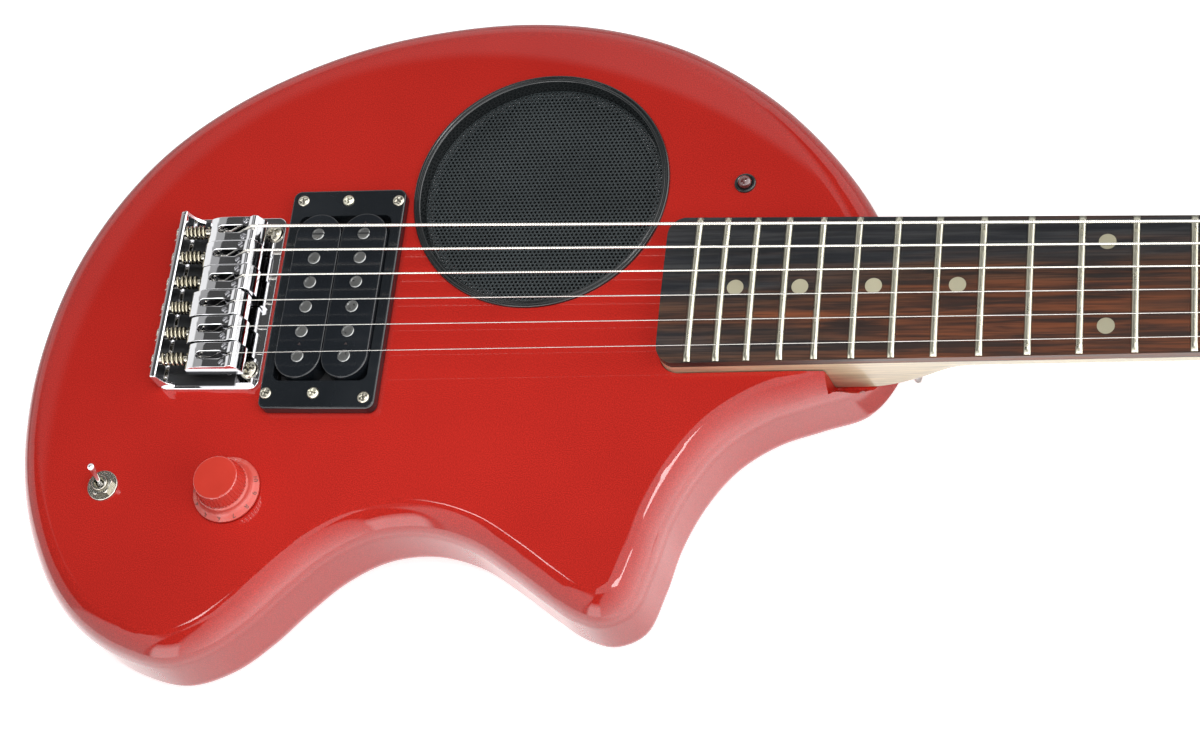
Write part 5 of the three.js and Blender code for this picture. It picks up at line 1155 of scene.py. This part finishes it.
# switch, lamp
def toggle():
    washer = lathe("switch_washer", [(3.1, 40.05), (5.8, 40.05), (5.8, 40.6), (5.6, 40.8),
                                     (3.1, 40.8)], SWITCH, 48)
    dress(smooth(washer, 40), NICKEL)
    nut = prism("switch_nut", circle(*SWITCH, 4.7, 6, 0.2), 40.8, 42.7)
    combine(nut, [lathe("c", [(0, 40), (4.5, 40), (4.75, 40.8), (4.75, 42.2), (4.2, 42.7),
                              (4.2, 43), (0, 43)], SWITCH, 48)], "INTERSECT")
    combine(nut, [bar("c", 3.05, (*SWITCH, 40), (*SWITCH, 44))])
    dress(smooth(nut, 25), NICKEL)
    profile = [(0, 39.8), (2.1, 39.8), (2.1, 43.6), (2.75, 43.6)]
    for k in range(7):
        profile += [(3.0, 43.45 - 0.44 * k), (2.72, 43.23 - 0.44 * k)]
    bush = lathe("switch_bushing", profile + [(3.0, 33), (0, 33)], SWITCH, 40)
    dress(smooth(bush, 25), NICKEL, stands_for="power_switch")
    x, y = SWITCH
    case = box("switch_case", x - 3.8, x + 3.8, y - 6.5, y + 6.5, 23.7, 33.7)
    dress(soften(case, 0.5), COVER_BLACK)
    profile = [(0, -1.5), (0.8, -1.25), (1.3, -0.75), (1.5, 0), (1.3, 0.75), (1.0, 1.3),
               (0.85, 2.2), (0.82, 4.5), (0.9, 7.0), (1.15, 8.6), (1.35, 9.6), (1.3, 10.4),
               (1.0, 10.95), (0.5, 11.17), (0, 11.2)]
    lever = lathe("lever_skin", profile, sides=32)
    lean = math.radians(15)
    moved(lever, at(*SWITCH, 41.9) @ facing((0, math.sin(lean), math.cos(lean))))
    dress(smooth(lever, 50), CHROME, "switch", "switch_lever")


def power_lamp():
    ring = lathe("lamp_bezel", [(0, 31), (2.9, 31), (2.9, 40), (3.9, 40), (3.9, 40.5),
                                (3.6, 40.85), (3.0, 40.9), (2.6, 40.5), (0, 40.4)], LAMP, 48)
    dress(smooth(ring, 40), BEZEL_BLACK, stands_for="power_lamp")
    dome = [(2.5 * x, 41.0 + 2.15 * y) for x, y in arc(0, 0, 1, 0, math.pi / 2, 8)]
    lens = lathe("lamp_lens", [(0, 40.3), (2.5, 40.3)] + dome[:-1] + [(0, 43.15)], LAMP, 40)
    dress(smooth(lens, 40), LENS)


toggle()
power_lamp()


# strap buttons, jack, back
def strap_button(name, seat, direction, node):
    profile = [(0, -18), (1.6, -18), (1.6, 0), (6.2, 0), (6.2, 1.2), (5.7, 1.7), (4.4, 2.4),
               (3.6, 3.4), (3.4, 4.3), (3.7, 5.3), (4.9, 6.5), (6.2, 7.2), (6.6, 7.7),
               (6.6, 8.4), (6.2, 8.9), (4.95, 9.35), (2.4, 9.4), (0, 9.4)]
    made = smooth(lathe(name, profile, sides=56), 35)
    moved(made, at(*seat) @ facing(direction))
    dress(made, CHROME, stands_for=node)
    tip = Vector(seat) + Vector(direction).normalized() * 9.35
    cross_screw(name + "_screw", 2.9, 1.0, tip, direction)


tail = Vector((*body_point((0.058, 0.1735)), BUTTON_SEAT_Z)) - TAIL_WAY.normalized() * 1.2
strap_button("heel_button_skin", (238.4, -13, BUTTON_SEAT_Z), FORWARD, "heel_strap_button")
strap_button("tail_button_skin", tail, TAIL_WAY, "tail_strap_button")


def jack():
    made = lathe("jack_skin", [(3.3, 0.2), (3.6, 0), (5.2, 0), (5.4, 0.35), (9.6, 0.6),
                               (10.7, 1.1), (11, 1.6), (11, 2.0), (5.6, 2.0), (5.6, 28),
                               (3.3, 28)], sides=72)
    moved(made, at(-85.4, *JACK_PLACE) @ facing(FORWARD))
    dress(smooth(made, 35), CHROME, stands_for="output_jack")
    plug = bar("jack_end", 3.2, (-62.4, *JACK_PLACE), (-58, *JACK_PLACE))
    dress(plug, COVER_BLACK)


def back_pieces():
    black, bright = (0.3, 2, COVER_BLACK), (0.4, 3, CHROME)
    for name, outline, (edge, steps, paint) in (
            ("back_cover", BACK_COVER, black), ("battery_cover", BATTERY_COVER, black),
            ("neck_plate", NECK_PLATE, bright)):
        plate = soften(prism(f"{name}_skin", rounded(*outline), SUNK, COVER_TOP), edge, steps, 40)
        dress(smooth(plate, 30), paint, stands_for=name)
    for k, (x, y) in enumerate(((-63, -65), (27, -65), (73.6, -38), (138.4, -38))):
        cross_screw(f"cover_screw_{k + 1}", 2.2, 0.25, (x, y, 0.28), DOWN, 0.4 * k)
    for k, (x, y) in enumerate(((180.6, 15), (212.6, 15), (180.6, -15), (212.6, -15))):
        cross_screw(f"neck_screw_{k + 1}", 3.6, 0.27, (x, y, 0.29), DOWN, 0.3 * k + 0.2)


jack()
back_pieces()


# tuners
def along_row(index, outline):
    x, y = TUNERS[index]
    c, s = math.cos(ROW_TURN), math.sin(ROW_TURN)
    return [(x + a * c - b * s, y + a * s + b * c) for a, b in outline]


def tuners():
    strip = prism("tuner_strip_skin", along_row(0, rounded(-10.5, 135.4, -7, 7, 3)),
                  STRIP_BOTTOM, HEAD_BOTTOM)
    soften(strip, 0.25, 2, 40)
    for i in range(6):
        case = prism("case", along_row(i, rounded(*about(0, 7.5, 6.7), 3)),
                     STRIP_BOTTOM - CASE_DEEP, STRIP_BOTTOM + 0.6)
        soften(case, 0.9, 3, 40)
        combine(strip, [case], "UNION")
    dress(smooth(strip, 30), CHROME, stands_for="tuner_strip")
    for i, (x, y) in enumerate(TUNERS):
        top = POST_TOP
        shaft = lathe(f"post_skin_{i + 1}", [
            (0, 19.6), (3, 19.6), (3, HEAD_TOP + 1.2), (2.75, HEAD_TOP + 1.35),
            (POST_WAIST, HEAD_TOP + 1.7), (POST_WAIST, top - 1.6), (2.55, top - 1.35),
            (2.7, top - 1.1), (2.7, top - 0.3), (2.4, top), (0, top)], (x, y), 36)
        slot = box("c", x - 4, x + 4, y - 0.6, y + 0.6, top - 2.2, top + 2)
        combine(shaft, [slot])
        dress(smooth(shaft, 30), NICKEL, f"post_{i + 1}", f"tuner_post_{i + 1}")
        bush = lathe(f"post_bushing_{i + 1}", [(3.1, HEAD_TOP), (5.4, HEAD_TOP),
                                               (5.4, HEAD_TOP + 0.4), (5.0, HEAD_TOP + 0.8),
                                               (3.1, HEAD_TOP + 1.0)], (x, y), 40)
        dress(smooth(bush, 35), CHROME)
        start = Vector((x, y, BUTTON_Z)) + OUT * 4
        outline = [(8.75 * a, 6.5 * b + 6.5) for a, b in circle(0, 0, 1, 40)]
        paddle = soften(prism("paddle", outline, -3.25, 3.25), 1.5, 4, 40)
        moved(paddle, at(*(start + OUT * 15.5)) @ Matrix.Rotation(ROW_TURN, 4, "Z"))
        stem = lathe("stem", [(0, 0), (2, 0), (2, 12.4), (3.2, 12.6), (3.2, 15.2), (2.4, 17.5),
                              (2.4, 19), (0, 19)], sides=28)
        moved(stem, at(*start) @ facing(OUT))
        combine(paddle, [stem], "UNION")
        paddle.name = f"button_skin_{i + 1}"
        dress(smooth(paddle, 35), CHROME, f"button_{i + 1}", f"tuner_button_{i + 1}")


tuners()

# the solids that keep the shape they have in the CAD source
for name, paint in {"nut": BONE, "string_tree": NICKEL, "truss_rod": STEEL, "battery": CELL,
                    "amp_board": GREEN, "pickup_base": NICKEL, "speaker_frame": STEEL,
                    "speaker_cone": CONE_BLACK, "volume_shaft": NICKEL,
                    "volume_pot": NICKEL}.items():
    nodes[name].data.materials.clear()
    nodes[name].data.materials.append(paint)
